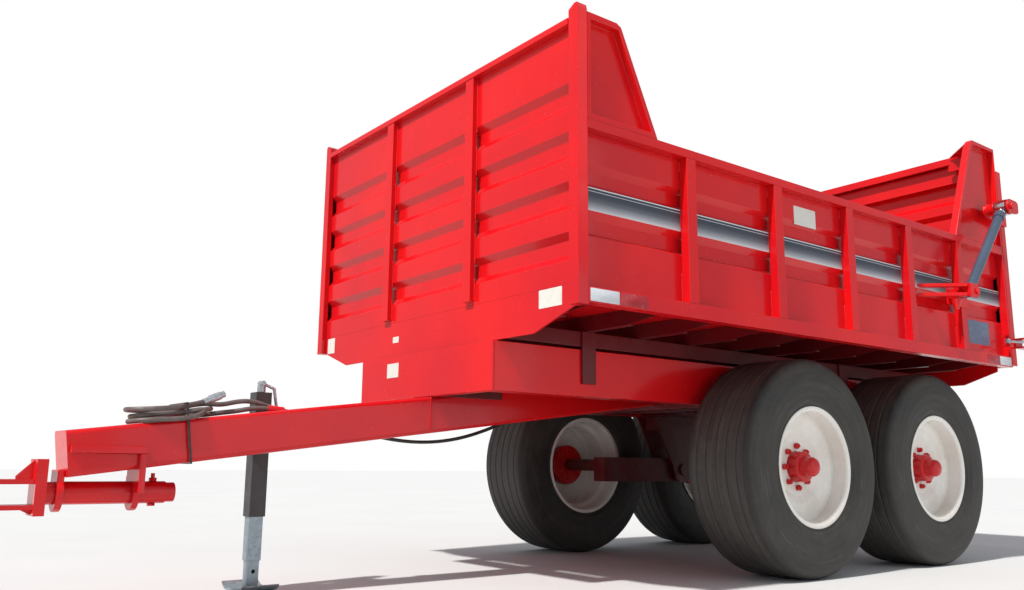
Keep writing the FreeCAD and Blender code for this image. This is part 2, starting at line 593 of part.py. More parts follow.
# side sheets, along Y, two grooves each
zside = [(1281, 0), (1507, 0), (1522, 1), (1586, 1), (1618, 0), (1722, 0), (1740, 1), (1797, 1), (1823, 0), (1963, 0)]
for s, nm in ((1, "left"), (-1, "right")):
    prof = [(u, z) for u, z in sheet_profile(zside, -FX, G, T)]          # u = -X for the left side
    pts = [(-u, z) for u, z in prof] if s > 0 else prof
    sh = pad("XZ_Plane", [pts], "S.body_len - 72", "side")
    place(sh, 0, "S.body_len - 15", 0)
    node("side_sheet_" + nm, sh)

# side frames: top rail, bottom rail and five posts
POSTS = [703.0, 1357.0, 1995.0, 2605.0, 3200.0]
for s, nm in ((1, "left"), (-1, "right")):
    def bx(a, b, y0, y1, z0, z1):
        return box(a, b, y0, y1, z0, z1) if s > 0 else box(-b, -a, y0, y1, z0, z1)
    fr = [bx(1112.0, 1186.5, 57.0, 3782.0, 1963.0, 2005.0),
          bx(1127.0, 1186.5, 57.0, 3782.0, 1213.0, 1281.0)]
    for y in POSTS:
        fr.append(bx(1141.0, 1186.5, y - 32.0, y + 32.0, 1281.0, 1963.0))
    node("side_frame_" + nm, fr)

# front wings: low trays above the side rail, behind the corner posts
fw = []
for s in (1, -1):
    pts = [(57, 2005), (483, 2005), (262, 2478), (235, 2492), (57, 2492)]
    inn = [(80, 2030), (445, 2030), (245, 2462), (80, 2462)]
    a = pad("YZ_Plane", [pts], 45.5, "wing")
    place(a, 1141.0 if s > 0 else -1186.5, 0, 0)
    b = pad("YZ_Plane", [inn], 40.5, "recess")
    place(b, 1150.0 if s > 0 else -1190.5, 0, 0)
    fw.append(cut(a, b))
node("front_wings", fw)

# rear wings: tall trays that carry the header and the gate
rw = []
for s in (1, -1):
    pts = [(3175, 2005), (3455, 2650), (3500, 2705), (3782, 2705), (3782, 2005)]
    inn = [(3215, 2020), (3490, 2655), (3515, 2680), (3782, 2680), (3782, 2020)]
    a = pad("YZ_Plane", [pts], 45.5, "wing")
    place(a, 1141.0 if s > 0 else -1186.5, 0, 0)
    b = pad("YZ_Plane", [inn], 40.5, "recess")
    place(b, 1150.0 if s > 0 else -1190.5, 0, 0)
    rw.append(cut(a, b))
node("rear_wings", rw)

# rear frame: flange posts, header with corner gussets, rear sill plate, hinge cheeks of the gate, latch pivots
rf = []
for s in (1, -1):
    a, b = (1090.0, 1186.5) if s > 0 else (-1186.5, -1090.0)
    rf.append(box(a, b, 3782.0, "S.body_len", 1213.0, 2705.0))
    ch = []
    for (c, d) in ((1046.0, 1060.0), (1078.0, 1092.0)):
        pl = pad("YZ_Plane", [[(3797, 2680), (3797, 2572), (3828, 2572), (3848, 2580), (3856, 2600), (3852, 2618), (3815, 2680)]], d - c, "cheek")
        place(pl, c if s > 0 else -d, 0, 0)
        ch.append(pl)
    ch.append(cyl("X", "S.gate_pin", 1046.0 if s > 0 else -1100.0, 1100.0 if s > 0 else -1046.0, "S.gate_y", "S.gate_z"))
    rf.append(fuse(ch))
    g = pad("XZ_Plane", [[(s * 1141.0, 2705.0), (s * 990.0, 2705.0), (s * 905.0, 2640.0), (s * 905.0, 2600.0), (s * 1141.0, 2600.0)]], 12.0, "gusset")
    place(g, 0, 3737.0, 0)
    rf.append(g)
    # corner brace between the top of the wing and the header
    br = pad("XY_Plane", [[(s * 1141.0, 3510.0), (s * 1141.0, 3725.0), (s * 920.0, 3725.0)]], 10.0, "brace")
    place(br, 0, 0, 2695.0)
    rf.append(br)
    # lugs of the latch, above and below it, and its pin
    for (z0, z1) in ((1338.0, 1350.0), (1398.0, 1410.0)):
        rf.append(box(1186.5 if s > 0 else -1238.0, 1238.0 if s > 0 else -1186.5, 3666.0, 3714.0, z0, z1))
    rf.append(cyl("Z", 8.0, 1350.0, 1398.0, s * 1215.0, 3690.0))
rf.append(tube_x(-1090.0, 1090.0, 3737.0, "S.body_len", 2655.0, 2705.0, 5.0))
rf.append(box(-1090.0, 1090.0, 3787.0, "S.body_len", 2530.0, 2655.0))
rs = pad("XZ_Plane", [[(-862, 1115), (862, 1115), (1090, 1191), (1090, 1281), (-1090, 1281), (-1090, 1191)]], 15.0, "sill")
place(rs, 0, "S.body_len", 0)
rf.append(rs)
node("rear_frame", rf)

# brackets that carry the gate cylinders
cb = []
for s in (1, -1):
    def bx(a, b, y0, y1, z0, z1):
        return box(a, b, y0, y1, z0, z1) if s > 0 else box(-b, -a, y0, y1, z0, z1)
    # the post's pad, the two cheeks with the pin between them, two braces that come out from the wall in front, a cone below
    cb.append(bx(1186.5, 1196.5, 2990.0, 3232.0, 1540.0, 1655.0))
    cb.append(bx(1196.5, 1248.0, 3002.0, 3068.0, 1575.0, 1630.0))
    for (a, b) in ((1248.0, 1262.0), (1338.0, 1352.0)):
        pl = pad("YZ_Plane", [[(2960, 1562), (3035, 1562), (3066, 1578), (3074, 1602), (3066, 1630), (3035, 1646), (2960, 1646)]], b - a, "cheek")
        place(pl, a if s > 0 else -b, 0, 0)
        cb.append(pl)
    cb.append(bx(1262.0, 1338.0, 2960.0, 2972.0, 1566.0, 1642.0))
    cb.append(cyl("X", 14.0, 1262.0 if s > 0 else -1338.0, 1338.0 if s > 0 else -1262.0, "S.cyl_low_y", "S.cyl_low_z"))
    cb.append(cyl("X", 20.0, 1352.0 if s > 0 else -1362.0, 1362.0 if s > 0 else -1352.0, "S.cyl_low_y", "S.cyl_low_z"))
    for (z0, z1) in ((1566.0, 1586.0), (1622.0, 1642.0)):
        br = pad("XY_Plane", [[(s * 1141.0, 2735.0), (s * 1141.0, 2790.0), (s * 1300.0, 2960.0), (s * 1338.0, 2960.0), (s * 1338.0, 2935.0)]], z1 - z0, "brace")
        place(br, 0, 0, z0)
        cb.append(br)
    cone = doc.addObject("Part::Cone", uid("cone"))
    cone.Radius1 = 12.0
    cone.Radius2 = 33.0
    cone.Height = 70.0
    place(cone, s * 1222.0, 3035.0, 1505.0)
    cb.append(cone)
node("cylinder_brackets", cb)

# ================================================================= TAILGATE
zg = [(1225, 0), (1398, 0), (1430, 1), (1490, 1), (1522, 0), (1698, 0), (1730, 1), (1790, 1), (1822, 0), (1998, 0), (2030, 1), (2090, 1), (2122, 0), (2298, 0),
      (2330, 1), (2390, 1), (2422, 0), (2546, 0)]
GS = pad("YZ_Plane", [[(-(u), z) for u, z in sheet_profile(zg, -3848.0, 25.0, T)]], 2 * 1150.0, "gate")
place(GS, -1150.0, 0, 0)
node("gate_sheet", [GS, box(-1150.0, 1150.0, 3800.0, 3860.0, 2546.0, 2552.0)])
for s, nm in ((1, "left"), (-1, "right")):
    gf = []
    def bx(a, b, y0, y1, z0, z1):
        return box(a, b, y0, y1, z0, z1) if s > 0 else box(-b, -a, y0, y1, z0, z1)
    gf.append(bx(1150.0, 1188.5, 3799.0, 3860.0, 1225.0, 2552.0))
    # strap that reaches forward outside the wing, with a boss and a fork for the cylinder's upper pin
    C = (S["cyl_top_y"], S["cyl_top_z"])
    strap = pad("YZ_Plane", [[(3860, 2285), (3592, 2275), (3556, 2255), (3548, 2230), (3556, 2205), (3592, 2185), (3860, 2165)]], 13.5, "strap")
    place(strap, 1188.5 if s > 0 else -1202.0, 0, 0)
    gf.append(strap)
    gf.append(fuse([cyl("X", 38.0, 1202.0 if s > 0 else -1248.0, 1248.0 if s > 0 else -1202.0, "S.cyl_top_y", "S.cyl_top_z"),
                    cyl("X", 44.0, 1202.0 if s > 0 else -1212.0, 1212.0 if s > 0 else -1202.0, "S.cyl_top_y", "S.cyl_top_z")]))
    for (a, b) in ((1248.0, 1262.0), (1338.0, 1352.0)):
        pts = [(C[0] + 50 * math.cos(math.radians(q)), C[1] + 50 * math.sin(math.radians(q))) for q in range(100, 261, 20)]
        pts += [(3680, 2192), (3700, 2205), (3700, 2262), (3680, 2277)]
        pl = pad("YZ_Plane", [pts], b - a, "lug")
        place(pl, a if s > 0 else -b, 0, 0)
        gf.append(pl)
    gf.append(bx(1262.0, 1338.0, 3688.0, 3700.0, 2205.0, 2262.0))
    gf.append(cyl("X", 12.0, 1262.0 if s > 0 else -1338.0, 1338.0 if s > 0 else -1262.0, "S.cyl_top_y", "S.cyl_top_z"))
    gf.append(cyl("X", 20.0, 1352.0 if s > 0 else -1366.0, 1366.0 if s > 0 else -1352.0, "S.cyl_top_y", "S.cyl_top_z"))
    # hinge lug between the cheeks
    pl = pad("YZ_Plane", [[(3812, 2552), (3856, 2552), (3854, 2604), (3844, 2620), (3828, 2626), (3812, 2620), (3804, 2604)]], 16.0, "hinge")
    place(pl, 1061.0 if s > 0 else -1077.0, 0, 0)
    gf.append(cut(pl, cyl("X", "S.gate_pin + S.fit_gap", 1055.0 if s > 0 else -1085.0, 1085.0 if s > 0 else -1055.0, "S.gate_y", "S.gate_z")))
    # catch at the foot of the gate: two plates, one above the other, and the web that carries them
    gf.append(bx(1188.5, 1252.0, 3845.0, 3970.0, 1340.0, 1352.0))
    gf.append(bx(1188.5, 1252.0, 3845.0, 3970.0, 1396.0, 1408.0))
    gf.append(bx(1188.5, 1198.0, 3845.0, 3940.0, 1352.0, 1396.0))
    node("gate_side_" + nm, gf)


# ================================================================= CYLINDERS
def along(base, p, q, r0, r1, s0, s1):
    """A round bar of radius r on the line from p to q, between distances s0 and s1."""
    d = (q - p)
    L = d.Length
    u = d * (1.0 / L)
    o = doc.addObject("Part::Cylinder", uid(base))
    bind(o, "Radius", r0)
    o.Height = s1 - s0
    o.Placement = FreeCAD.Placement(p + u * s0, FreeCAD.Rotation(V(0, 0, 1), d))
    return o


def cylinder_set(xc, P, Q, R, rr, eye_lo, eye_hi, halfw, bore_lo, bore_hi, gland):
    p, q = V(xc, P[0], P[1]), V(xc, Q[0], Q[1])
    L = (q - p).Length
    end = L - eye_hi - gland                      # mouth of the barrel
    tube = fuse([along("barrel", p, q, R, R, eye_lo - 6, end), along("gland", p, q, R + 5.0, R, end - 45, end),
                 along("base", p, q, R + 3.0, R, eye_lo - 6, eye_lo + 24),
                 cyl("X", eye_lo, xc - halfw, xc + halfw, P[0], P[1])])
    tube = cut(tube, along("bore", p, q, rr + 0.3, rr, eye_lo + 30, L))
    tube = cut(tube, cyl("X", bore_lo, xc - halfw - 1, xc + halfw + 1, P[0], P[1]))
    rod = fuse([along("rod", p, q, rr, rr, eye_lo + 40, L - eye_hi + 6), along("collar", p, q, rr + 8.0, rr, L - eye_hi - 15, L - eye_hi + 6),
                cyl("X", eye_hi, xc - halfw, xc + halfw, Q[0], Q[1])])
    rod = cut(rod, cyl("X", bore_hi, xc - halfw - 1, xc + halfw + 1, Q[0], Q[1]))
    return tube, rod


for s, nm in ((1, "left"), (-1, "right")):
    a, b = cylinder_set(s * S["cyl_x"], (S["cyl_low_y"], S["cyl_low_z"]), (S["cyl_top_y"], S["cyl_top_z"]), S["barrel_r"], S["rod_r"],
                        30.0, 50.0, 34.0, 14.05, 41.0, 20.0)
    node("gate_barrel_" + nm, a)
    node("gate_rod_" + nm, b)
a, b = cylinder_set(0.0, (S["hoist_low_y"], S["hoist_low_z"]), (S["hoist_top_y"], S["hoist_top_z"]), S["hoist_r"], S["hoist_rod"],
                    48.0, 75.0, 56.0, 22.05, 62.0, 20.0)
node("hoist_barrel", a)
node("hoist_rod", b)

# latch bolts at the foot of the gate, swung a little outward, clear of the catch
for s, nm in ((1, "left"), (-1, "right")):
    a = math.radians(17.0)
    p = V(s * 1215.0, 3690.0, 1374.0)
    d = V(s * math.sin(a), math.cos(a), 0.0)
    q = p + d * 296.0
    eye = cyl("Z", 17.0, 1360.0, 1388.0, p.x, p.y)
    rod = along("bolt", p, q, 8.0, 8.0, 12.0, 296.0)
    head = cyl("Z", 10.0, 1342.0, 1406.0, q.x, q.y)
    nut = along("nut", p, q, 15.0, 15.0, 262.0, 280.0)
    w = cut(fuse([eye, rod, head, nut]), cyl("Z", 8.05, 1350.0, 1398.0, p.x, p.y))
    node("latch_" + nm, w)

# ================================================================= HOSES
def hose(name, pts, r):
    """A hose of radius r along straight runs joined by tangent arcs; its volume is compared with section times length."""
    P = [V(*p) for p in pts]
    edges, cur, length, radii = [], P[0], 0.0, []
    for i in range(1, len(P) - 1):
        a, b = P[i - 1] - P[i], P[i + 1] - P[i]
        la, lb = a.Length, b.Length
        a.normalize()
        b.normalize()
        turn_ = math.pi - a.getAngle(b)
        if turn_ < 1e-4:
            raise ValueError("three points in line in " + name)
        t = 0.45 * min(la, lb)
        rad = t / math.tan(turn_ / 2)
        radii.append(round(rad))
        s0, s1 = P[i] + a * t, P[i] + b * t
        bis = a + b
        bis.normalize()
        mid = P[i] + bis * (rad / math.cos(turn_ / 2) - rad)
        edges.append(Part.LineSegment(cur, s0).toShape())
        edges.append(Part.Arc(s0, mid, s1).toShape())
        length += (s0 - cur).Length + rad * turn_
        cur = s1
    edges.append(Part.LineSegment(cur, P[-1]).toShape())
    length += (P[-1] - cur).Length
    path = Part.Wire(edges)
    ring = Part.Wire([Part.Circle(P[0], (P[1] - P[0]), r).toShape()])
    tube = path.makePipeShell([ring], True, False)
    if not tube.isValid() or tube.Volume < 0:
        tube = Part.makeSolid(tube) if not tube.Solids else tube
    want = math.pi * r * r * length
    if abs(tube.Volume - want) > 0.01 * want:
        raise RuntimeError("hose %s: volume %.0f, wanted %.0f" % (name, tube.Volume, want))
    print("hose %-14s length %6.0f mm  radii %s" % (name, length, radii))
    o = doc.addObject("Part::Feature", uid("hose"))
    o.Shape = tube
    node(name, o)
    return length


def bar_top(y):
    """Height of the drawbar's top face at y."""
    return 703.9 + 0.13 * y + S["bar_tall"] / math.cos(math.radians(S["bar_slope"]))


HR = S["hose_r"]
# the folded hank that lies on the drawbar: a slab with round ends, in line with it
hk_body = doc.addObject("PartDesign::Body", uid("hank"))
hs = hk_body.newObject("Sketcher::SketchObject", uid("outline"))
hs.AttachmentSupport = [(plane_of(hk_body, "XY_Plane"), "")]
hs.MapMode = "FlatFace"
doc.recompute()
rrect(hs, 100.0, 184.0, 92.0)
hp = hk_body.newObject("PartDesign::Pad", uid("pad"))
hp.Profile = hs
hp.Length = 62.0
hk_body.Tip = hp
hk_body.Placement = FreeCAD.Placement(V(12.0, -1206.0, bar_top(-1206.0) + 0.5), FreeCAD.Rotation(V(1, 0, 0), S["bar_slope"]))
node("hose_hank", hk_body)
# quick coupler on the free end, lying on the hank's rear end and pointing up and back
cp0, cp1 = V(54.0, -1096.0, 806.0), V(40.0, -1004.0, 845.0)
cd = cp1 - cp0
def cseg(a, b, r):
    o = doc.addObject("Part::Cylinder", uid("coupler"))
    o.Radius = r
    o.Height = (b - a) * cd.Length
    o.Placement = FreeCAD.Placement(cp0 + cd * a, FreeCAD.Rotation(V(0, 0, 1), cd))
    return o
node("hose_coupler", fuse([cseg(0.0, 0.45, 13.0), cseg(0.3, 0.8, 17.0), cseg(0.75, 1.0, 14.0)]))
# strap that ties the hank to the drawbar
ty = -1150.0
band = cut(box(-104.0, 116.0, -5.0, 5.0, -4.0, 246.0), box(-101.0, 113.0, -6.0, 6.0, -1.0, 243.0))
band = group([band], "tie")
band.Placement = FreeCAD.Placement(V(0, ty, 703.9 + 0.13 * ty), FreeCAD.Rotation(V(1, 0, 0), S["bar_slope"]))
node("hose_tie", band)
# the two hoses between the hank and the bosses where they go down into the drawbar
sl_, cl_ = math.sin(math.radians(S["bar_slope"])), math.cos(math.radians(S["bar_slope"]))
def hank_end(x, h):
    return (x, -1206.0 + 184.0 * cl_ - h * sl_, bar_top(-1206.0) + 0.5 + 184.0 * sl_ + h * cl_)
def ahead(p, d):
    return (p[0], p[1] + d * cl_, p[2] + d * sl_)
A0 = hank_end(12.0, 47.0)
B0 = hank_end(12.0, 13.0)
hose("hose_lead_a", [A0, ahead(A0, 34.0), (11.0, -944.0, 815.0), (8.0, -899.0, 822.0), (4.0, -851.0, 819.5), (1.0, -804.0, 808.0), HOSE_A_END], HR)
hose("hose_lead_b", [B0, ahead(B0, 36.0), (17.0, -942.0, bar_top(-942.0) + 14.5), (27.0, -896.0, bar_top(-896.0) + 18.2),
                     (37.0, -851.0, 793.5), HOSE_B_END], HR)
# hose that hangs below the far side of the drawbar between two blocks
hose("hose_under", [(-116, -380, 716), (-116, -335, 716), (-118, -268, 709), (-121, -190, 694), (-124, -98, 679), (-126, 5, 669), (-126, 108, 667), (-124, 212, 674),
                    (-122, 314, 690), (-120, 408, 713), (-118, 494, 740), (-116.5, 572, 768), (-116, 640, 794), (-116, 700, 813), (-116, 752, 822), (-116, 798, 822)], 9.0)

doc.recompute()

# ---------------------------------------------------------------- checks and export
bad = [o.Name for o in doc.Objects if "Invalid" in o.State or "Error" in o.State]
if bad:
    raise RuntimeError("objects that failed: " + ", ".join(bad))
total = 0.0
for name, obj in NODES.items():
    sh = obj.Shape
    if sh.isNull() or not sh.isValid() or not sh.Solids:
        raise RuntimeError("bad shape: " + name)
    total += sh.Volume
    bb = sh.BoundBox
    print("%-22s solids %2d  vol %9.0f cm3  x %7.1f %7.1f  y %7.1f %7.1f  z %7.1f %7.1f" % (
        name, len(sh.Solids), sh.Volume / 1000.0, bb.XMin, bb.XMax, bb.YMin, bb.YMax, bb.ZMin, bb.ZMax))
print("nodes", len(NODES), "steel-equivalent kg", round(total * 7.85e-6))

os.makedirs("parts", exist_ok=True)
for name, obj in NODES.items():
    obj.Shape.exportStep("parts/%s.step" % name)
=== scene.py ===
import bpy, bmesh, math, json, random
from mathutils import Vector, Matrix

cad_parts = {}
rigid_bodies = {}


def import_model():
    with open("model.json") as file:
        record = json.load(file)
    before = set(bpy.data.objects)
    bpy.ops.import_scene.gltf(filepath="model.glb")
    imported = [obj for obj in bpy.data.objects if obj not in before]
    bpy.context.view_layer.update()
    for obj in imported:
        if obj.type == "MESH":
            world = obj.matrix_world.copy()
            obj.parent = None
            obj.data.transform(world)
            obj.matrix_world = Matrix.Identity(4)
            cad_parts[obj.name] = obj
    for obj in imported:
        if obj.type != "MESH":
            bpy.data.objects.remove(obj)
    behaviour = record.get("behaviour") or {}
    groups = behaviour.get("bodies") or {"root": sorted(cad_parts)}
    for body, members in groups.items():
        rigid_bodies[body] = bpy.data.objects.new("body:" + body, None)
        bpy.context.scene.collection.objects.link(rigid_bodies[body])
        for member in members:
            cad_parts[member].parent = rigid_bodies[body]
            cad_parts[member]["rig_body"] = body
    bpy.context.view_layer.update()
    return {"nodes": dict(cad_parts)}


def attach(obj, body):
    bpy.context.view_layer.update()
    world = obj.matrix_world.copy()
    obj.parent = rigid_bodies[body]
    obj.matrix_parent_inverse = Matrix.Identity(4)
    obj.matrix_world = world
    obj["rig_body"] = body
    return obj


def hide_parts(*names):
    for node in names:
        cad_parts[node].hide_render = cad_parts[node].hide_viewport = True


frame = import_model()
SH = -1.059                      # shift of the design's Y to the row frame
NODES = frame["nodes"]
scene = bpy.context.scene


def Y(y):
    return y / 1000.0 + SH


# ------------------------------------------------------------------ camera
CAM = Vector((3.8816, -2.4121 + SH, 0.5586))
AZ, PITCH, ROLL = math.radians(52.43), math.radians(10.57), math.radians(0.53)
F = Vector((-math.sin(AZ) * math.cos(PITCH), math.cos(AZ) * math.cos(PITCH), math.sin(PITCH)))
R = Vector((math.cos(AZ), math.sin(AZ), 0.0))
U = R.cross(F)
R2 = R * math.cos(ROLL) + U * math.sin(ROLL)
U2 = U * math.cos(ROLL) - R * math.sin(ROLL)
cam_data = bpy.data.cameras.new("camera")
cam = bpy.data.objects.new("camera", cam_data)
scene.collection.objects.link(cam)
cam_data.sensor_width = 36.0
cam_data.lens = 909.66 / 1024.0 * 36.0
cam_data.clip_start = 0.05
cam_data.clip_end = 200.0
cam.matrix_world = Matrix((
    (R2.x, U2.x, -F.x, CAM.x),
    (R2.y, U2.y, -F.y, CAM.y),
    (R2.z, U2.z, -F.z, CAM.z),
    (0, 0, 0, 1)))
scene.camera = cam
scene.view_settings.view_transform = "Standard"


# ------------------------------------------------------------------ materials
class Mat:
    """A small helper to lay nodes out."""

    def __init__(self, name):
        self.m = bpy.data.materials.new(name)
        self.m.use_nodes = True
        self.t = self.m.node_tree
        self.b = self.t.nodes["Principled BSDF"]
        self.geo = None
        self.tc = self.n("ShaderNodeTexCoord")

    def n(self, kind, **kw):
        node = self.t.nodes.new(kind)
        for k, v in kw.items():
            if k in node.inputs:
                node.inputs[k].default_value = v
            else:
                setattr(node, k, v)
        return node

    def link(self, a, b):
        self.t.links.new(a, b)

    def noise(self, scale, detail=4.0, rough=0.55, vec=None, distortion=0.0):
        x = self.n("ShaderNodeTexNoise")
        x.inputs["Scale"].default_value = scale
        x.inputs["Detail"].default_value = detail
        x.inputs["Roughness"].default_value = rough
        x.inputs["Distortion"].default_value = distortion
        self.link(vec or self.tc.outputs["Object"], x.inputs["Vector"])
        return x.outputs["Fac"]

    def ramp(self, fac, stops):
        r = self.n("ShaderNodeValToRGB")
        el = r.color_ramp.elements
        el[0].position, el[0].color = stops[0][0], (*stops[0][1], 1) if len(stops[0][1]) == 3 else stops[0][1]
        el[1].position, el[1].color = stops[-1][0], (*stops[-1][1], 1) if len(stops[-1][1]) == 3 else stops[-1][1]
        for p, c in stops[1:-1]:
            e = el.new(p)
            e.color = (*c, 1) if len(c) == 3 else c
        self.link(fac, r.inputs["Fac"])
        return r.outputs["Color"]

    def grey(self, fac, lo, hi, a=0.0, b=1.0):
        m = self.n("ShaderNodeMapRange")
        m.inputs["From Min"].default_value = lo
        m.inputs["From Max"].default_value = hi
        m.inputs["To Min"].default_value = a
        m.inputs["To Max"].default_value = b
        self.link(fac, m.inputs["Value"])
        return m.outputs["Result"]

    def mix(self, fac, a, b):
        x = self.n("ShaderNodeMix", data_type="RGBA")
        if hasattr(fac, "is_linked"):
            self.link(fac, x.inputs["Factor"])
        else:
            x.inputs["Factor"].default_value = fac
        for v, s in ((a, x.inputs["A"]), (b, x.inputs["B"])):
            if hasattr(v, "is_linked"):
                self.link(v, s)
            else:
                s.default_value = (*v, 1)
        return x.outputs["Result"]

    def math(self, op, a, b=0.5):
        x = self.n("ShaderNodeMath", operation=op)
        for v, s in ((a, x.inputs[0]), (b, x.inputs[1])):
            if hasattr(v, "is_linked"):
                self.link(v, s)
            else:
                s.default_value = v
        return x.outputs[0]

    def bump(self, height, strength, distance, normal=None):
        x = self.n("ShaderNodeBump")
        x.inputs["Strength"].default_value = strength
        x.inputs["Distance"].default_value = distance
        self.link(height, x.inputs["Height"])
        if normal is not None:
            self.link(normal, x.inputs["Normal"])
        self.link(x.outputs["Normal"], self.b.inputs["Normal"])
        return x.outputs["Normal"]

    def z(self):
        s = self.n("ShaderNodeSeparateXYZ")
        self.link(self.tc.outputs["Object"], s.inputs[0])
        return s.outputs["Z"]

    def axis(self, k):
        s = self.n("ShaderNodeSeparateXYZ")
        self.link(self.tc.outputs["Object"], s.inputs[0])
        return s.outputs[k]

    def set(self, **kw):
        for k, v in kw.items():
            s = self.b.inputs[k.replace("_", " ")]
            if hasattr(v, "is_linked"):
                self.link(v, s)
            else:
                s.default_value = v


def paint(name, base, deep, dust=(0.30, 0.115, 0.10), rough=0.16, dusty=0.25, coat=0.5, low=0.3, high=1.5):
    """Sprayed gloss paint: slight orange peel, uneven depth of colour, a haze of dust that grows towards the ground."""
    m = Mat(name)
    big = m.noise(1.6, 3.0)
    fine = m.noise(28.0, 6.0, 0.65)
    speck = m.noise(420.0, 2.0, 0.5)
    col = m.mix(m.grey(big, 0.35, 0.68), base, deep)
    hz = m.grey(m.z(), low, high, 1.0, 0.0)
    cloud = m.grey(m.noise(5.5, 7.0, 0.68), 0.42, 0.78)
    film = m.math("MULTIPLY", m.math("MULTIPLY", cloud, m.math("ADD", hz, 0.18)), dusty)
    col = m.mix(film, col, dust)
    chip = m.grey(m.noise(95.0, 3.0, 0.6), 0.735, 0.765)
    chip = m.math("MULTIPLY", chip, m.grey(m.noise(3.1, 2.0), 0.55, 0.7))
    col = m.mix(m.math("MULTIPLY", chip, 0.6), col, tuple(c * 0.45 for c in base))
    r = m.math("ADD", m.grey(fine, 0.3, 0.75, rough * 0.75, rough * 1.5), m.math("MULTIPLY", film, 0.6))
    h = m.math("ADD", m.math("MULTIPLY", m.noise(240.0, 2.0, 0.4), 0.5), m.math("MULTIPLY", speck, 0.12))
    m.bump(h, 0.06, 0.002)
    m.set(Base_Color=col, Roughness=r, Coat_Weight=coat, Coat_Roughness=0.06, Specular_IOR_Level=0.3)
    return m.m


RED = paint("paint_red", (0.66, 0.0055, 0.007), (0.54, 0.004, 0.010), dusty=0.10, rough=0.2, coat=0.22, low=-0.2, high=0.9)
# Red for the parts under the body: its base colour is painted shade, far darker than the red paint, standing in for the
# shade beneath the body. Its dust film is dirt, with the dust colour darkened the same way as painted shade.
RED_PAINTED_SHADE = paint("paint_red_under_painted_shade", (0.13, 0.004, 0.007), (0.09, 0.004, 0.006), dust=(0.10, 0.062, 0.055), dusty=0.5, rough=0.32, coat=0.12, low=0.5, high=1.4)
RED_HUB = paint("paint_red_hub", (0.60, 0.006, 0.008), (0.5, 0.005, 0.009), dusty=0.12, rough=0.24, coat=0.2, low=0.0, high=0.1)
WHITE = paint("rim_white", (0.86, 0.85, 0.81), (0.80, 0.775, 0.71), dust=(0.40, 0.30, 0.20), rough=0.26, dusty=0.34, coat=0.2, low=-0.1, high=0.6)
GREY = paint("jack_grey", (0.050, 0.047, 0.050), (0.036, 0.034, 0.037), dust=(0.15, 0.135, 0.125), rough=0.4, dusty=0.35, coat=0.06, low=0.2, high=1.1)
STEEL_BLUE = paint("cylinder_blue", (0.055, 0.082, 0.125), (0.035, 0.055, 0.09), rough=0.22, dusty=0.05, coat=0.5)


def zinc(name, base=(0.30, 0.365, 0.40), spangle=55.0, rough=0.36):
    m = Mat(name)
    v = m.n("ShaderNodeTexVoronoi")
    v.inputs["Scale"].default_value = spangle
    m.link(m.tc.outputs["Object"], v.inputs["Vector"])
    sp = m.n("ShaderNodeSeparateColor")
    m.link(v.outputs["Color"], sp.inputs[0])
    f = sp.outputs[0]
    col = m.mix(m.grey(f, 0.0, 1.0), tuple(c * 0.78 for c in base), tuple(min(1, c * 1.1) for c in base))
    stain = m.grey(m.noise(9.0, 6.0, 0.7), 0.55, 0.8)
    col = m.mix(m.math("MULTIPLY", stain, 0.4), col, (0.17, 0.17, 0.165))
    r = m.math("ADD", m.grey(f, 0, 1, rough * 0.8, rough * 1.25), m.math("MULTIPLY", stain, 0.25))
    m.bump(m.noise(160.0, 4.0), 0.12, 0.001)
    m.set(Base_Color=col, Roughness=r, Metallic=0.55)
    return m.m


GALV = zinc("galvanised")
ZINC = zinc("zinc_plate", (0.42, 0.45, 0.48), 130.0, 0.26)
FOOT = zinc("foot_plate", (0.10, 0.17, 0.27), 40.0, 0.34)


def chrome_rod():
    m = Mat("rod_chrome")
    mp = m.n("ShaderNodeMapping")
    mp.inputs["Scale"].default_value = (60, 60, 3)
    m.link(m.tc.outputs["Object"], mp.inputs["Vector"])
    f = m.noise(14.0, 4.0, 0.6, vec=mp.outputs[0])
    m.bump(f, 0.05, 0.0005)
    m.set(Base_Color=m.mix(m.grey(f, 0.3, 0.7), (0.70, 0.71, 0.73), (0.80, 0.81, 0.82)), Roughness=m.grey(f, 0.3, 0.7, 0.09, 0.2), Metallic=1.0)
    return m.m


CHROME = chrome_rod()


def rubber(name, base, dusty, dust=(0.33, 0.29, 0.26), rough=0.62, scale=1.0):
    m = Mat(name)
    a = m.grey(m.noise(7.0 * scale, 7.0, 0.7), 0.36, 0.72)
    b = m.grey(m.noise(60.0 * scale, 4.0, 0.6), 0.3, 0.75)
    col = m.mix(m.math("MULTIPLY", a, dusty), base, dust)
    col = m.mix(m.math("MULTIPLY", b, 0.25), col, tuple(c * 0.55 for c in base))
    m.bump(m.math("ADD", m.math("MULTIPLY", m.noise(340.0, 3.0), 0.4), b), 0.16, 0.0012)
    m.set(Base_Color=col, Roughness=m.grey(a, 0.0, 1.0, rough * 0.8, min(0.95, rough * 1.3)), Specular_IOR_Level=0.4)
    return m.m


HOSE = rubber("hose_brown", (0.105, 0.082, 0.076), 0.7, (0.235, 0.20, 0.19), 0.42, 3.0)
HOSE_BLACK = rubber("hose_black", (0.012, 0.012, 0.013), 0.35, (0.12, 0.1, 0.09), 0.42, 2.0)
STRAP = rubber("strap_black", (0.02, 0.02, 0.022), 0.3, (0.2, 0.18, 0.16), 0.7, 6.0)


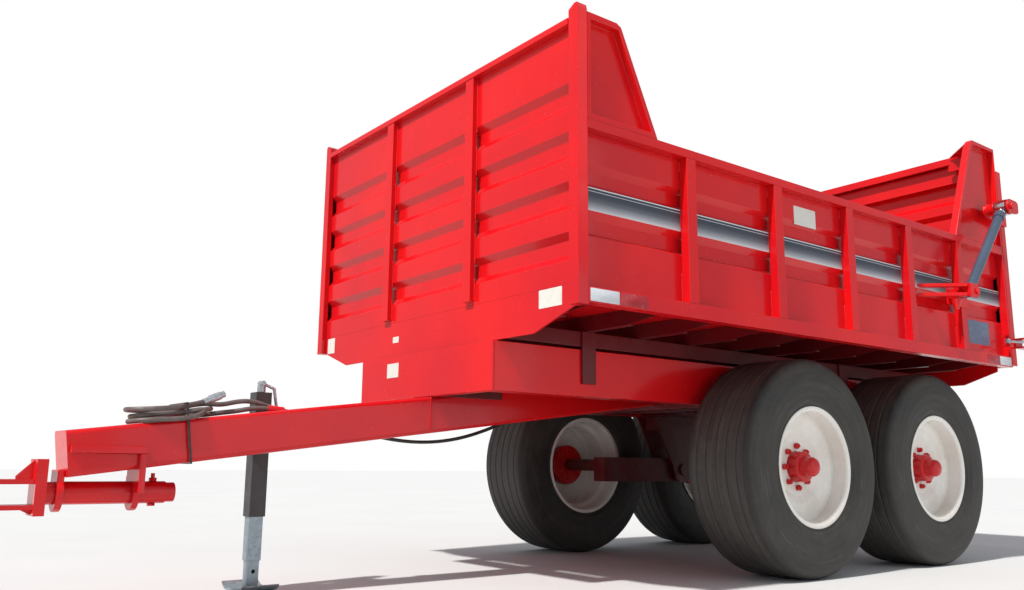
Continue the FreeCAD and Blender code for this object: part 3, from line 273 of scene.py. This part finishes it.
def tyre_material(side):
    """Worn, dusty tread and sidewall. Radius and side are taken from the wheel's own coordinates."""
    m = Mat("tyre_" + side)
    s = m.n("ShaderNodeSeparateXYZ")
    m.link(m.tc.outputs["Object"], s.inputs[0])
    rr = m.math("POWER", m.math("ADD", m.math("POWER", s.outputs["Y"], 2.0), m.math("POWER", s.outputs["Z"], 2.0)), 0.5)
    cloud = m.grey(m.noise(4.5, 8.0, 0.72), 0.38, 0.72)
    streak = m.grey(m.noise(26.0, 5.0, 0.62), 0.35, 0.72)
    base = (0.020, 0.019, 0.0185)
    dust = (0.115, 0.103, 0.085)
    wall_dust = m.math("MULTIPLY", m.math("ADD", m.math("MULTIPLY", cloud, 0.55), m.math("MULTIPLY", streak, 0.18)), 0.85)
    col_wall = m.mix(wall_dust, base, dust)
    tread = m.grey(rr, 0.53, 0.553)
    flat = m.grey(rr, 0.5575, 0.5605)
    tread_dust = m.math("ADD", m.math("MULTIPLY", cloud, 0.35), m.math("MULTIPLY", m.math("MULTIPLY", flat, 0.55), m.grey(streak, 0, 1, 0.55, 1.0)))
    col_tread = m.mix(tread_dust, (0.020, 0.019, 0.019), (0.105, 0.097, 0.085))
    col = m.mix(tread, col_wall, col_tread)
    # dirt that sits on the bead ring, near the rim
    bead = m.grey(rr, 0.335, 0.318)
    col = m.mix(m.math("MULTIPLY", bead, 0.4), col, (0.11, 0.10, 0.088))
    # rings of scuffing: noise that runs round the wheel, made from the radius alone with a slow change along the angle
    ang = m.math("ARCTAN2", s.outputs["Y"], s.outputs["Z"])
    cv = m.n("ShaderNodeCombineXYZ")
    m.link(m.math("MULTIPLY", rr, 46.0), cv.inputs["X"])
    m.link(m.math("MULTIPLY", ang, 1.3), cv.inputs["Y"])
    m.link(m.math("MULTIPLY", s.outputs["X"], 46.0), cv.inputs["Z"])
    ring = m.noise(1.0, 5.0, 0.6, vec=cv.outputs[0])
    col = m.mix(m.grey(ring, 0.42, 0.72, 0.0, 0.5), col, (0.014, 0.0135, 0.013))
    col = m.mix(m.grey(ring, 0.38, 0.25, 0.0, 0.35), col, (0.17, 0.155, 0.135))
    m.bump(m.math("ADD", m.math("MULTIPLY", m.noise(300.0, 3.0), 0.35), m.math("ADD", streak, m.math("MULTIPLY", cloud, 0.6))), 0.25, 0.0018)
    m.set(Base_Color=col, Roughness=m.grey(wall_dust, 0.0, 0.7, 0.5, 0.9), Specular_IOR_Level=0.4)
    return m.m


TYRE = tyre_material("worn")


# ------------------------------------------------------------------ mesh helpers
def obj_from(bm, name, mat, body=None, smooth=40.0):
    me = bpy.data.meshes.new(name)
    bm.to_mesh(me)
    bm.free()
    for p in me.polygons:
        p.use_smooth = True
    me.set_sharp_from_angle(angle=math.radians(smooth))
    o = bpy.data.objects.new(name, me)
    scene.collection.objects.link(o)
    if mat is not None:
        me.materials.clear()
        me.materials.append(mat)
    if body:
        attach(o, body)
    return o


def refined(node, mat, bevel=0.003, seg=2, name=None, minangle=32.0, rough_size=0.3):
    """A finished copy of a CAD node: welded, its flat faces whole, and its edges rounded solid by solid."""
    src = NODES[node]
    me = src.data
    bm = bmesh.new()
    bm.from_mesh(me)
    bmesh.ops.remove_doubles(bm, verts=bm.verts, dist=2e-5)
    bmesh.ops.dissolve_limit(bm, angle_limit=math.radians(0.6), verts=bm.verts, edges=bm.edges)
    bm.verts.index_update()
    # loose parts
    seen, parts = set(), []
    for v in bm.verts:
        if v in seen:
            continue
        stack, part = [v], []
        seen.add(v)
        while stack:
            a = stack.pop()
            part.append(a)
            for e in a.link_edges:
                b = e.other_vert(a)
                if b not in seen:
                    seen.add(b)
                    stack.append(b)
        parts.append(part)
    out = bmesh.new()
    for part in parts:
        idx = {v: i for i, v in enumerate(part)}
        piece = bmesh.new()
        vs = [piece.verts.new(v.co) for v in part]
        done = set()
        for v in part:
            for f in v.link_faces:
                if f in done:
                    continue
                done.add(f)
                try:
                    piece.faces.new([vs[idx[x]] for x in f.verts])
                except ValueError:
                    pass
        bmesh.ops.recalc_face_normals(piece, faces=piece.faces)
        size = [max(v.co[k] for v in piece.verts) - min(v.co[k] for v in piece.verts) for k in range(3)]
        w = min(bevel, 0.22 * min(size))
        if w > 2e-4:
            edges = [e for e in piece.edges if len(e.link_faces) == 2 and e.calc_face_angle(0.0) > math.radians(minangle)]
            if edges:
                bmesh.ops.bevel(piece, geom=edges, offset=w, offset_type="OFFSET", segments=seg, profile=0.55, affect="EDGES", clamp_overlap=True)
        tmp = bpy.data.meshes.new("tmp")
        piece.to_mesh(tmp)
        piece.free()
        out.from_mesh(tmp)
        bpy.data.meshes.remove(tmp)
    bm.free()
    o = obj_from(out, name or ("v_" + node), mat, src["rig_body"], smooth=50.0)
    w = o.modifiers.new("weighted", "WEIGHTED_NORMAL")
    w.mode = "FACE_AREA"
    w.weight = 90
    w.keep_sharp = True
    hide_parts(node)
    return o


def lathe(profile, centre, name, mat, body, seg=96, closed=True, flip=False, smooth=32.0):
    """Turns (along X, radius) points about the X axis through centre. The object's origin stays at the centre."""
    bm = bmesh.new()
    rings = []
    for k in range(seg):
        a = 2 * math.pi * k / seg
        ring = []
        for x, r in profile:
            ring.append(bm.verts.new(((-x if flip else x), r * math.cos(a), r * math.sin(a))))
        rings.append(ring)
    n = len(profile)
    for k in range(seg):
        a, b = rings[k], rings[(k + 1) % seg]
        for i in range(n if closed else n - 1):
            j = (i + 1) % n
            bm.faces.new((a[i], a[j], b[j], b[i]))
    bmesh.ops.remove_doubles(bm, verts=bm.verts, dist=1e-6)
    bmesh.ops.recalc_face_normals(bm, faces=bm.faces)
    o = obj_from(bm, name, mat, None, smooth)
    o.location = centre
    if body:
        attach(o, body)
    return o


def round_profile(pts, r, n=3):
    """Rounds the corners of a closed outline by r, in n steps."""
    out = []
    m = len(pts)
    for i in range(m):
        p0, p, p1 = Vector(pts[i - 1]), Vector(pts[i]), Vector(pts[(i + 1) % m])
        a, b = p0 - p, p1 - p
        la, lb = a.length, b.length
        if la < 1e-9 or lb < 1e-9:
            continue
        t = min(r, la * 0.42, lb * 0.42)
        a.normalize()
        b.normalize()
        s, e = p + a * t, p + b * t
        for k in range(n + 1):
            u = k / n
            out.append(tuple((s * (1 - u) ** 2 + p * 2 * u * (1 - u) + e * u * u)))
    return out


def rod(bm, a, b, r, seg=16):
    a, b = Vector(a), Vector(b)
    d = (b - a).normalized()
    u = d.orthogonal().normalized()
    w = d.cross(u)
    rings = []
    for p, rr in ((a, r), (b - d * r * 0.2, r), (b, r * 0.8)):
        rings.append([bm.verts.new(p + u * rr * math.cos(2 * math.pi * k / seg) + w * rr * math.sin(2 * math.pi * k / seg)) for k in range(seg)])
    for q in range(2):
        for k in range(seg):
            j = (k + 1) % seg
            bm.faces.new((rings[q][k], rings[q][j], rings[q + 1][j], rings[q + 1][k]))
    bm.faces.new(rings[-1])
    bm.faces.new(list(reversed(rings[0])))


def bead(name, lines, r, mat, body, seed=1):
    """Weld beads: lumpy ropes of metal along polylines given in design millimetres."""
    rnd = random.Random(seed)
    bm = bmesh.new()
    for line in lines:
        P = [Vector((x / 1000, Y(y), z / 1000)) for x, y, z in line]
        pts = []
        for a, b in zip(P, P[1:]):
            n = max(2, int((b - a).length / (r * 0.9)))
            pts += [a.lerp(b, i / n) for i in range(n)]
        pts.append(P[-1])
        prev = None
        for i, q in enumerate(pts):
            t = (pts[min(i + 1, len(pts) - 1)] - pts[max(i - 1, 0)]).normalized()
            u = t.orthogonal().normalized()
            w = t.cross(u)
            k = r * (0.86 + 0.22 * math.sin(i * 1.9) + 0.12 * rnd.random())
            if i in (0, len(pts) - 1):
                k *= 0.35
            ring = [bm.verts.new(q + u * k * math.cos(j * math.pi / 3) + w * k * math.sin(j * math.pi / 3)) for j in range(6)]
            if prev:
                # line the ring up with the one before it
                off = min(range(6), key=lambda o: (ring[o].co - prev[0].co).length)
                ring = ring[off:] + ring[:off]
                if (ring[1].co - prev[1].co).length > (ring[-1].co - prev[1].co).length:
                    ring = [ring[0]] + ring[:0:-1]
                for j in range(6):
                    bm.faces.new((prev[j], prev[(j + 1) % 6], ring[(j + 1) % 6], ring[j]))
            else:
                bm.faces.new(list(reversed(ring)))
            prev = ring
        bm.faces.new(prev)
    bmesh.ops.recalc_face_normals(bm, faces=bm.faces)
    o = obj_from(bm, name, mat, body, 60.0)
    return o


def plate(name, quads, th, mat, body):
    """Thin films or plates with rounded edges. Each quad is a rectangle (axis, at, a0, a1, b0, b1) in design millimetres, raised by th on the side of its sign."""
    bm = bmesh.new()
    for ax, at, sg, a0, a1, b0, b1 in quads:
        r = min(3.0, 0.2 * abs(a1 - a0), 0.2 * abs(b1 - b0))
        loop = []
        for cx, cy, st in ((a1 - r, b1 - r, 0), (a0 + r, b1 - r, 90), (a0 + r, b0 + r, 180), (a1 - r, b0 + r, 270)):
            for k in range(4):
                t = math.radians(st + 30 * k)
                loop.append((cx + r * math.cos(t), cy + r * math.sin(t)))
        rings = []
        for h, g in ((0.0, 0.0), (th * 0.7, 0.0), (th, 0.5)):
            ring = []
            for u, v in loop:
                u2 = u + (g if u < (a0 + a1) / 2 else -g)
                v2 = v + (g if v < (b0 + b1) / 2 else -g)
                if ax == "X":
                    co = ((at + sg * h) / 1000, Y(u2), v2 / 1000)
                else:
                    co = (u2 / 1000, Y(at + sg * h), v2 / 1000)
                ring.append(bm.verts.new(co))
            rings.append(ring)
        n = len(loop)
        for q in range(2):
            for k in range(n):
                bm.faces.new((rings[q][k], rings[q][(k + 1) % n], rings[q + 1][(k + 1) % n], rings[q + 1][k]))
        bm.faces.new(rings[2])
        bm.faces.new(list(reversed(rings[0])))
    bmesh.ops.recalc_face_normals(bm, faces=bm.faces)
    o = obj_from(bm, name, mat, body, 30.0)
    return o


# ------------------------------------------------------------------ carried-over steelwork
RED_NODES = ["frame_rail_left", "frame_rail_right", "frame_front_plate", "frame_crossmembers", "tongue_beam", "beam_hangers", "hinge_blocks", "hoist_base",
             "hitch_ears", "hitch_sleeve", "clevis_fork", "clevis_collar", "walking_beam_left", "walking_beam_right",
             "floor_plate", "floor_crossmembers", "body_sills", "front_sheet", "front_frame", "side_sheet_left", "side_sheet_right", "side_frame_left",
             "side_frame_right", "front_wings", "rear_wings", "rear_frame", "cylinder_brackets", "gate_sheet", "gate_side_left", "gate_side_right"]
# The parts in this set get the red with painted shade in its colour, standing in for the shade under the body.
SHADED_UNDER_NODES = {"frame_crossmembers", "beam_hangers", "hoist_base", "floor_crossmembers", "body_sills", "walking_beam_left", "walking_beam_right", "hinge_blocks"}
for n in RED_NODES:
    refined(n, RED_PAINTED_SHADE if n in SHADED_UNDER_NODES else RED, bevel=0.003)
refined("jack_tube", GREY, bevel=0.006, seg=3)
refined("jack_ram", GALV, bevel=0.004)
refined("jack_foot", GALV, bevel=0.002)
refined("jack_crank", ZINC, bevel=0.002)
for n in ("latch_left", "latch_right"):
    refined(n, ZINC, bevel=0.0015)
coupler = refined("hose_coupler", ZINC, bevel=0.0015)
for n in ("gate_barrel_left", "gate_barrel_right", "hoist_barrel"):
    refined(n, STEEL_BLUE, bevel=0.002)
for n in ("gate_rod_left", "gate_rod_right", "hoist_rod"):
    refined(n, CHROME, bevel=0.002)
refined("hose_tie", STRAP, bevel=0.0005)

# ------------------------------------------------------------------ hoses
SLOPE = math.radians(7.407)
SN, CS = math.sin(SLOPE), math.cos(SLOPE)


def bar_top(y):
    return 703.9 + 0.13 * y + 178.0 / CS


def on_bar(x, u, h):
    """Design point of the hank: x across, u along the sloping drawbar from the hank's middle, h above its top."""
    return (x, -1206.0 + u * CS - h * SN, bar_top(-1206.0) + 0.7 + u * SN + h * CS)


def hose(name, pts, d, mat):
    cu = bpy.data.curves.new(name, "CURVE")
    cu.dimensions = "3D"
    sp = cu.splines.new("NURBS")
    sp.points.add(len(pts) - 1)
    for q, (x, y, z) in zip(sp.points, pts):
        q.co = (x / 1000.0, Y(y), z / 1000.0, 1.0)
    sp.order_u = 3
    sp.use_endpoint_u = True
    sp.resolution_u = 8
    cu.bevel_depth = d / 2
    cu.bevel_resolution = 5
    cu.use_fill_caps = True
    cu.materials.append(mat)
    o = bpy.data.objects.new(name, cu)
    scene.collection.objects.link(o)
    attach(o, "chassis")
    return o


lead_a = [(0.0, -759.0, 796.0), (1.0, -804.0, 808.0), (4.0, -851.0, 819.5), (8.0, -899.0, 822.0), (11.0, -944.0, 815.0)]
turns_a = [(12, 218, 47), (12, 184, 50), (6, 150, 57), (-12, 106, 57), (-34, 62, 51), (-48, 14, 42), (-52, -38, 35), (-51, -88, 31), (-38, -146, 30), (12, -168, 30),
           (62, -146, 30), (78, -98, 30), (80, -46, 30), (81, 6, 29), (82, 56, 29), (78, 102, 31), (60, 144, 33), (12, 165, 33), (-38, 146, 32), (-64, 108, 30),
           (-76, 62, 29), (-82, 10, 33), (-84, -42, 40), (-80, -94, 50), (-54, -156, 58), (12, -184, 60), (80, -158, 56), (104, -96, 52), (106, -42, 50), (97, 4, 52),
           (80, 42, 56), (62, 74, 57)]
pts_a = lead_a + [on_bar(*q) for q in turns_a] + [(54.0, -1096.0, 806.0)]
lead_b = [(44.0, -807.0, 790.5), (37.0, -851.0, 793.5), (27.0, -896.0, bar_top(-896.0) + 18.2), (17.0, -942.0, bar_top(-942.0) + 14.5)]
turns_b = [(12, 220, 13), (12, 184, 12), (6, 146, 11), (-14, 106, 11), (-44, 66, 11), (-66, 16, 11), (-74, -38, 11), (-74, -90, 11), (-50, -152, 11), (12, -178, 11),
           (76, -154, 11), (102, -96, 9), (108, -42, 5), (111, 10, 3), (108, 58, 6), (97, 98, 15), (64, 120, 28), (16, 126, 34), (-24, 110, 33), (-40, 74, 31),
           (-34, 32, 25), (-20, -8, 16), (-8, -50, 12), (-2, -90, 12)]
pts_b = lead_b + [on_bar(*q) for q in turns_b]
pts_u = [(-116, -380, 716), (-116, -335, 716), (-118, -268, 709), (-121, -190, 694), (-124, -98, 679), (-126, 5, 669), (-126, 108, 667), (-124, 212, 674),
         (-122, 314, 690), (-120, 408, 713), (-118, 494, 740), (-116.5, 572, 768), (-116, 640, 794), (-116, 700, 813), (-116, 752, 822), (-116, 798, 822)]
hose_a = hose("hose_a", pts_a, 0.021, HOSE)
hose_b = hose("hose_b", pts_b, 0.021, HOSE)
hose_u = hose("hose_below", pts_u, 0.018, HOSE_BLACK)
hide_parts("hose_lead_a", "hose_hank")
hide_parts("hose_lead_b")
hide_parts("hose_under")
# pipe fitting on the end of the second hose, in the middle of the turns
e0, e1 = Vector(on_bar(-2, -84, 12)), Vector(on_bar(1, -124, 12))
fa = [Vector((v.x / 1000, Y(v.y), v.z / 1000)) for v in (e0, e1)]
bm = bmesh.new()
d = (fa[1] - fa[0]).normalized()
rod(bm, fa[0], fa[0] + d * 0.020, 0.0122, 20)
rod(bm, fa[0] + d * 0.019, fa[0] + d * 0.031, 0.0142, 6)
rod(bm, fa[0] + d * 0.030, fa[0] + d * 0.044, 0.0095, 20)
bmesh.ops.recalc_face_normals(bm, faces=bm.faces)
fitting = obj_from(bm, "hose_fitting", ZINC, "chassis", 30.0)

# ------------------------------------------------------------------ wheels
TR = 0.562


def tyre_profile():
    half = [(185, 297.5), (186, 306), (185, 317), (190, 326), (197, 336), (199, 352), (203.5, 372), (206, 395), (207.4, 420), (207.6, 424), (208, 428), (208, 452),
            (207.2, 456), (207, 474), (205.5, 490), (204.5, 494), (203.5, 506), (200, 522), (194, 535), (187, 545), (178, 552.5), (168, 557), (156, 559.5)]
    gro = []
    for c in (124.0, 62.0, 0.0, -62.0, -124.0):
        gro += [(c + 6.0, 561.6), (c + 4.0, 560.2), (c + 2.6, 558.6), (c, 558.0), (c - 2.6, 558.6), (c - 4.0, 560.2), (c - 6.0, 561.6)]
    outer = half + [(140, 561)] + gro + [(-140, 561)] + [(-a, b) for a, b in reversed(half)]
    inner_r = [(160, 297.5), (163, 325), (181, 385), (184, 440), (181, 485), (165, 522), (140, 533)]
    inner = [(-a, b) for a, b in inner_r] + list(reversed(inner_r))
    return [(a / 1000, b / 1000) for a, b in outer + inner]


def rim_profile():
    o = [(-192, 310), (-186, 310), (-186, 297), (-176, 292), (-100, 288), (-82, 262), (-22, 262), (-2, 288), (176, 292), (186, 297), (186, 310), (192, 310)]
    i = [(192, 292), (181, 283), (100, 280), (100, 262), (88, 238), (88, 190), (70, 150), (70, 79), (58, 79), (58, 152), (76, 194), (76, 240), (86, 266), (86, 280),
         (6, 280), (-14, 254), (-90, 254), (-108, 280), (-181, 283), (-192, 292)]
    return round_profile([(a / 1000, b / 1000) for a, b in o + i], 0.006, 3)


def hub_profile():
    p = [(-10, 30.05), (-10, 124), (-4, 130), (50, 130), (58, 124), (58, 78), (124, 78), (130, 72), (130, 53), (172, 50), (186, 42), (195, 26), (198, 0.02), (140, 0.02), (140, 30.05)]
    return round_profile([(a / 1000, b / 1000) for a, b in p], 0.003, 3)


def hexnut(bm, x0, x1, y, z, r, spin, flip):
    vs0, vs1, vs2 = [], [], []
    s = -1 if flip else 1
    for k in range(6):
        a = spin + k * math.pi / 3
        c, d = math.cos(a), math.sin(a)
        vs0.append(bm.verts.new((s * x0, y + r * c, z + r * d)))
        vs1.append(bm.verts.new((s * (x1 - 0.003), y + r * c, z + r * d)))
        vs2.append(bm.verts.new((s * x1, y + r * 0.84 * c, z + r * 0.84 * d)))
    for k in range(6):
        j = (k + 1) % 6
        bm.faces.new((vs0[k], vs0[j], vs1[j], vs1[k]))
        bm.faces.new((vs1[k], vs1[j], vs2[j], vs2[k]))
    bm.faces.new(vs2)
    bm.faces.new(list(reversed(vs0)))


WHEELS = (("left_front", 1, 1737.6), ("left_rear", 1, 2974.0), ("right_front", -1, 1737.6), ("right_rear", -1, 2974.0))
for w, s, ay in WHEELS:
    c = Vector((0.877 * s, Y(ay), 0.562))
    body = "wheel_" + w
    t = lathe(tyre_profile(), c, "tyre_" + w + "_skin", TYRE, body, seg=144, smooth=26.0)
    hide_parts("tyre_" + w)
    r = lathe(rim_profile(), c, "rim_" + w + "_shell", WHITE, body, seg=128, flip=(s < 0), smooth=30.0)
    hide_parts("rim_" + w)
    h = lathe(hub_profile(), c, "hub_" + w + "_cap", RED_HUB, body, seg=72, flip=(s < 0), smooth=30.0)
    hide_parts("hub_" + w)
    bm = bmesh.new()
    rnd = random.Random(ay + s)
    for k in range(8):
        a = math.radians(45 * k)
        y, z = 0.108 * math.cos(a), 0.108 * math.sin(a)
        hexnut(bm, 0.0702, 0.092, y, z, 0.0155, rnd.random(), s < 0)
        rod(bm, (s * 0.0702, y, z), (s * 0.0978, y, z), 0.0082)
    bmesh.ops.recalc_face_normals(bm, faces=bm.faces)
    nn = obj_from(bm, "lug_nuts_" + w, RED_HUB, None, 30.0)
    nn.location = c
    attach(nn, body)

# ------------------------------------------------------------------ stripes, reflective tape, plain plates
def stripe_material():
    """Printed stripe: slate blue above, fading through grey to white below, with two thin pale lines near the top."""
    m = Mat("stripe_print")
    z = m.z()
    col = m.ramp(m.grey(z, 1.618, 1.722), [(0.0, (0.60, 0.60, 0.62)), (0.16, (0.34, 0.35, 0.38)), (0.4, (0.12, 0.13, 0.155)), (0.62, (0.05, 0.058, 0.08)), (1.0, (0.035, 0.042, 0.062))])
    for c, w in ((1.7175, 0.0028), (1.7035, 0.0013)):
        d = m.math("ABSOLUTE", m.math("SUBTRACT", z, c))
        col = m.mix(m.grey(d, w, w * 0.6), col, (0.72, 0.73, 0.76))
    wear = m.grey(m.noise(22.0, 6.0, 0.65), 0.6, 0.82)
    col = m.mix(m.math("MULTIPLY", wear, 0.3), col, (0.30, 0.27, 0.26))
    m.bump(m.noise(130.0, 3.0), 0.05, 0.0006)
    m.set(Base_Color=col, Roughness=m.grey(wear, 0.0, 1.0, 0.35, 0.5), Specular_IOR_Level=0.3)
    return m.m


def tape_material(name, a, b):
    """Reflective tape: a fine diamond weave of cells."""
    m = Mat(name)
    v = m.n("ShaderNodeTexVoronoi")
    v.inputs["Scale"].default_value = 260.0
    m.link(m.tc.outputs["Object"], v.inputs["Vector"])
    f = m.grey(v.outputs["Distance"], 0.1, 0.6)
    col = m.mix(f, a, b)
    dirt = m.grey(m.noise(30.0, 5.0, 0.65), 0.52, 0.8)
    col = m.mix(m.math("MULTIPLY", dirt, 0.35), col, (0.30, 0.26, 0.23))
    m.bump(f, 0.1, 0.0005)
    m.set(Base_Color=col, Roughness=m.grey(dirt, 0, 1, 0.18, 0.45), Metallic=0.15)
    return m.m


STRIPE = stripe_material()
TAPE_W = tape_material("tape_white", (0.80, 0.82, 0.84), (0.58, 0.61, 0.65))
TAPE_R = tape_material("tape_red", (0.55, 0.02, 0.03), (0.36, 0.01, 0.02))
BLANK = tape_material("plate_blank", (0.80, 0.78, 0.72), (0.72, 0.70, 0.64))
BLUE = tape_material("plate_blue", (0.16, 0.20, 0.30), (0.12, 0.15, 0.24))
panels = ((60, 669), (737, 1323), (1391, 1961), (2029, 2571), (2639, 3166), (3234, 3780))
quads = []
for sg in (1, -1):
    for a, b in panels:
        quads.append(("X", 1141.0 * sg, sg, a, b, 1618.0, 1722.0))
plate("side_stripes", quads, 1.2, STRIPE, "dump_body")
plate("tape_white_side", [("X", 1186.5 * sg, sg, a, b, 1220.0, 1274.0) for sg in (1, -1) for a, b in ((66, 230), (3625, 3778))], 1.0, TAPE_W, "dump_body")
plate("tape_red_side", [("X", 1186.5 * sg, sg, a, b, 1220.0, 1274.0) for sg in (1, -1) for a, b in ((236, 402), (3458, 3620))], 1.0, TAPE_R, "dump_body")
plate("blank_plates_front", [("Y", 28.0, -1, 900, 1052, 1216, 1296), ("Y", 28.0, -1, -1100, -1012, 1200, 1290), ("Y", 28.0, -1, -330, -270, 1190, 1222)], 1.2, BLANK, "dump_body")
plate("blank_plate_rail", [("Y", 0.0, -1, -330, -215, 1000, 1075)], 1.6, BLANK, "chassis")
plate("blank_plates_side", [("X", 1141.0, 1, 1545, 1735, 1805, 1905)], 1.2, BLANK, "dump_body")
plate("blank_plate_blue", [("X", 1141.0, 1, 3330, 3600, 1340, 1490)], 1.2, BLUE, "dump_body")

# ------------------------------------------------------------------ weld beads
lines = []
for x in (-352.0, 352.0, -418.0, 418.0):
    lines += [[(x, 27.0, 2155), (x, 27.0, 2432)]]
    for z0, z1 in ((1318, 1425), (1495, 1645), (1715, 1865), (1935, 2085)):
        lines.append([(x, 27.0, z0), (x, 27.0, z1)])
for sx in (1, -1):
    for yy in (703, 1357, 1995, 2605, 3200):
        for e in (-33, 33):
            for z0, z1 in ((1283, 1420), (1640, 1700), (1905, 1960)):
                lines.append([(sx * 1141.5, yy + e, z0), (sx * 1141.5, yy + e, z1)])
bead("welds_body", lines, 0.0042, RED, "dump_body", 3)
bt = lambda y: 704.13 + 0.13 * y
lines = [[(-605.5 + 3, 11.0, 884.5), (-101, 11.0, 884.5)], [(101, 11.0, 884.5), (602, 11.0, 884.5)],
         [(100.5, 2, bt(2) + 20), (100.5, 2, 884)], [(-100.5, 2, bt(2) + 20), (-100.5, 2, 884)]]
bead("welds_frame", lines, 0.0045, RED, "chassis", 5)

# ------------------------------------------------------------------ stage and light
bm = bmesh.new()
for x, y in ((-60, -60), (60, -60), (60, 60), (-60, 60)):
    bm.verts.new((x, y, -0.001))
bm.faces.new(bm.verts)
fm = Mat("floor_pale")
fm.set(Base_Color=fm.mix(fm.grey(fm.noise(0.7, 5.0), 0.3, 0.7), (0.60, 0.60, 0.60), (0.63, 0.63, 0.63)), Roughness=0.85)
floor = obj_from(bm, "floor", fm.m)

world = bpy.data.worlds.new("world")
scene.world = world
world.use_nodes = True
wt = world.node_tree
bg = wt.nodes["Background"]
bg.inputs["Color"].default_value = (0.88, 0.94, 1.0, 1)
bg.inputs["Strength"].default_value = 0.52
white = wt.nodes.new("ShaderNodeBackground")
white.inputs["Color"].default_value = (1, 1, 1, 1)
white.inputs["Strength"].default_value = 1.0
lp = wt.nodes.new("ShaderNodeLightPath")
mx = wt.nodes.new("ShaderNodeMixShader")
wt.links.new(lp.outputs["Is Camera Ray"], mx.inputs[0])
wt.links.new(bg.outputs[0], mx.inputs[1])
wt.links.new(white.outputs[0], mx.inputs[2])
wt.links.new(mx.outputs[0], wt.nodes["World Output"].inputs["Surface"])


def light(kind, name, loc, target, energy, size=1.0, color=(1, 1, 1), angle=0.1):
    d = bpy.data.lights.new(name, kind)
    d.energy = energy
    d.color = color
    if kind == "AREA":
        d.size = size
    if kind == "SUN":
        d.angle = angle
    o = bpy.data.objects.new(name, d)
    scene.collection.objects.link(o)
    o.location = loc
    o.rotation_euler = (Vector(target) - Vector(loc)).to_track_quat("-Z", "Y").to_euler()
    return o


light("SUN", "key", (1.0, -6.0, 8.2), (0, 0, 0.6), 4.4, color=(1.0, 0.97, 0.93), angle=math.radians(2.5))
light("AREA", "fill", (7.5, 2.0, 2.2), (0, 0.6, 1.2), 60.0, size=5.0, color=(0.93, 0.96, 1.0))
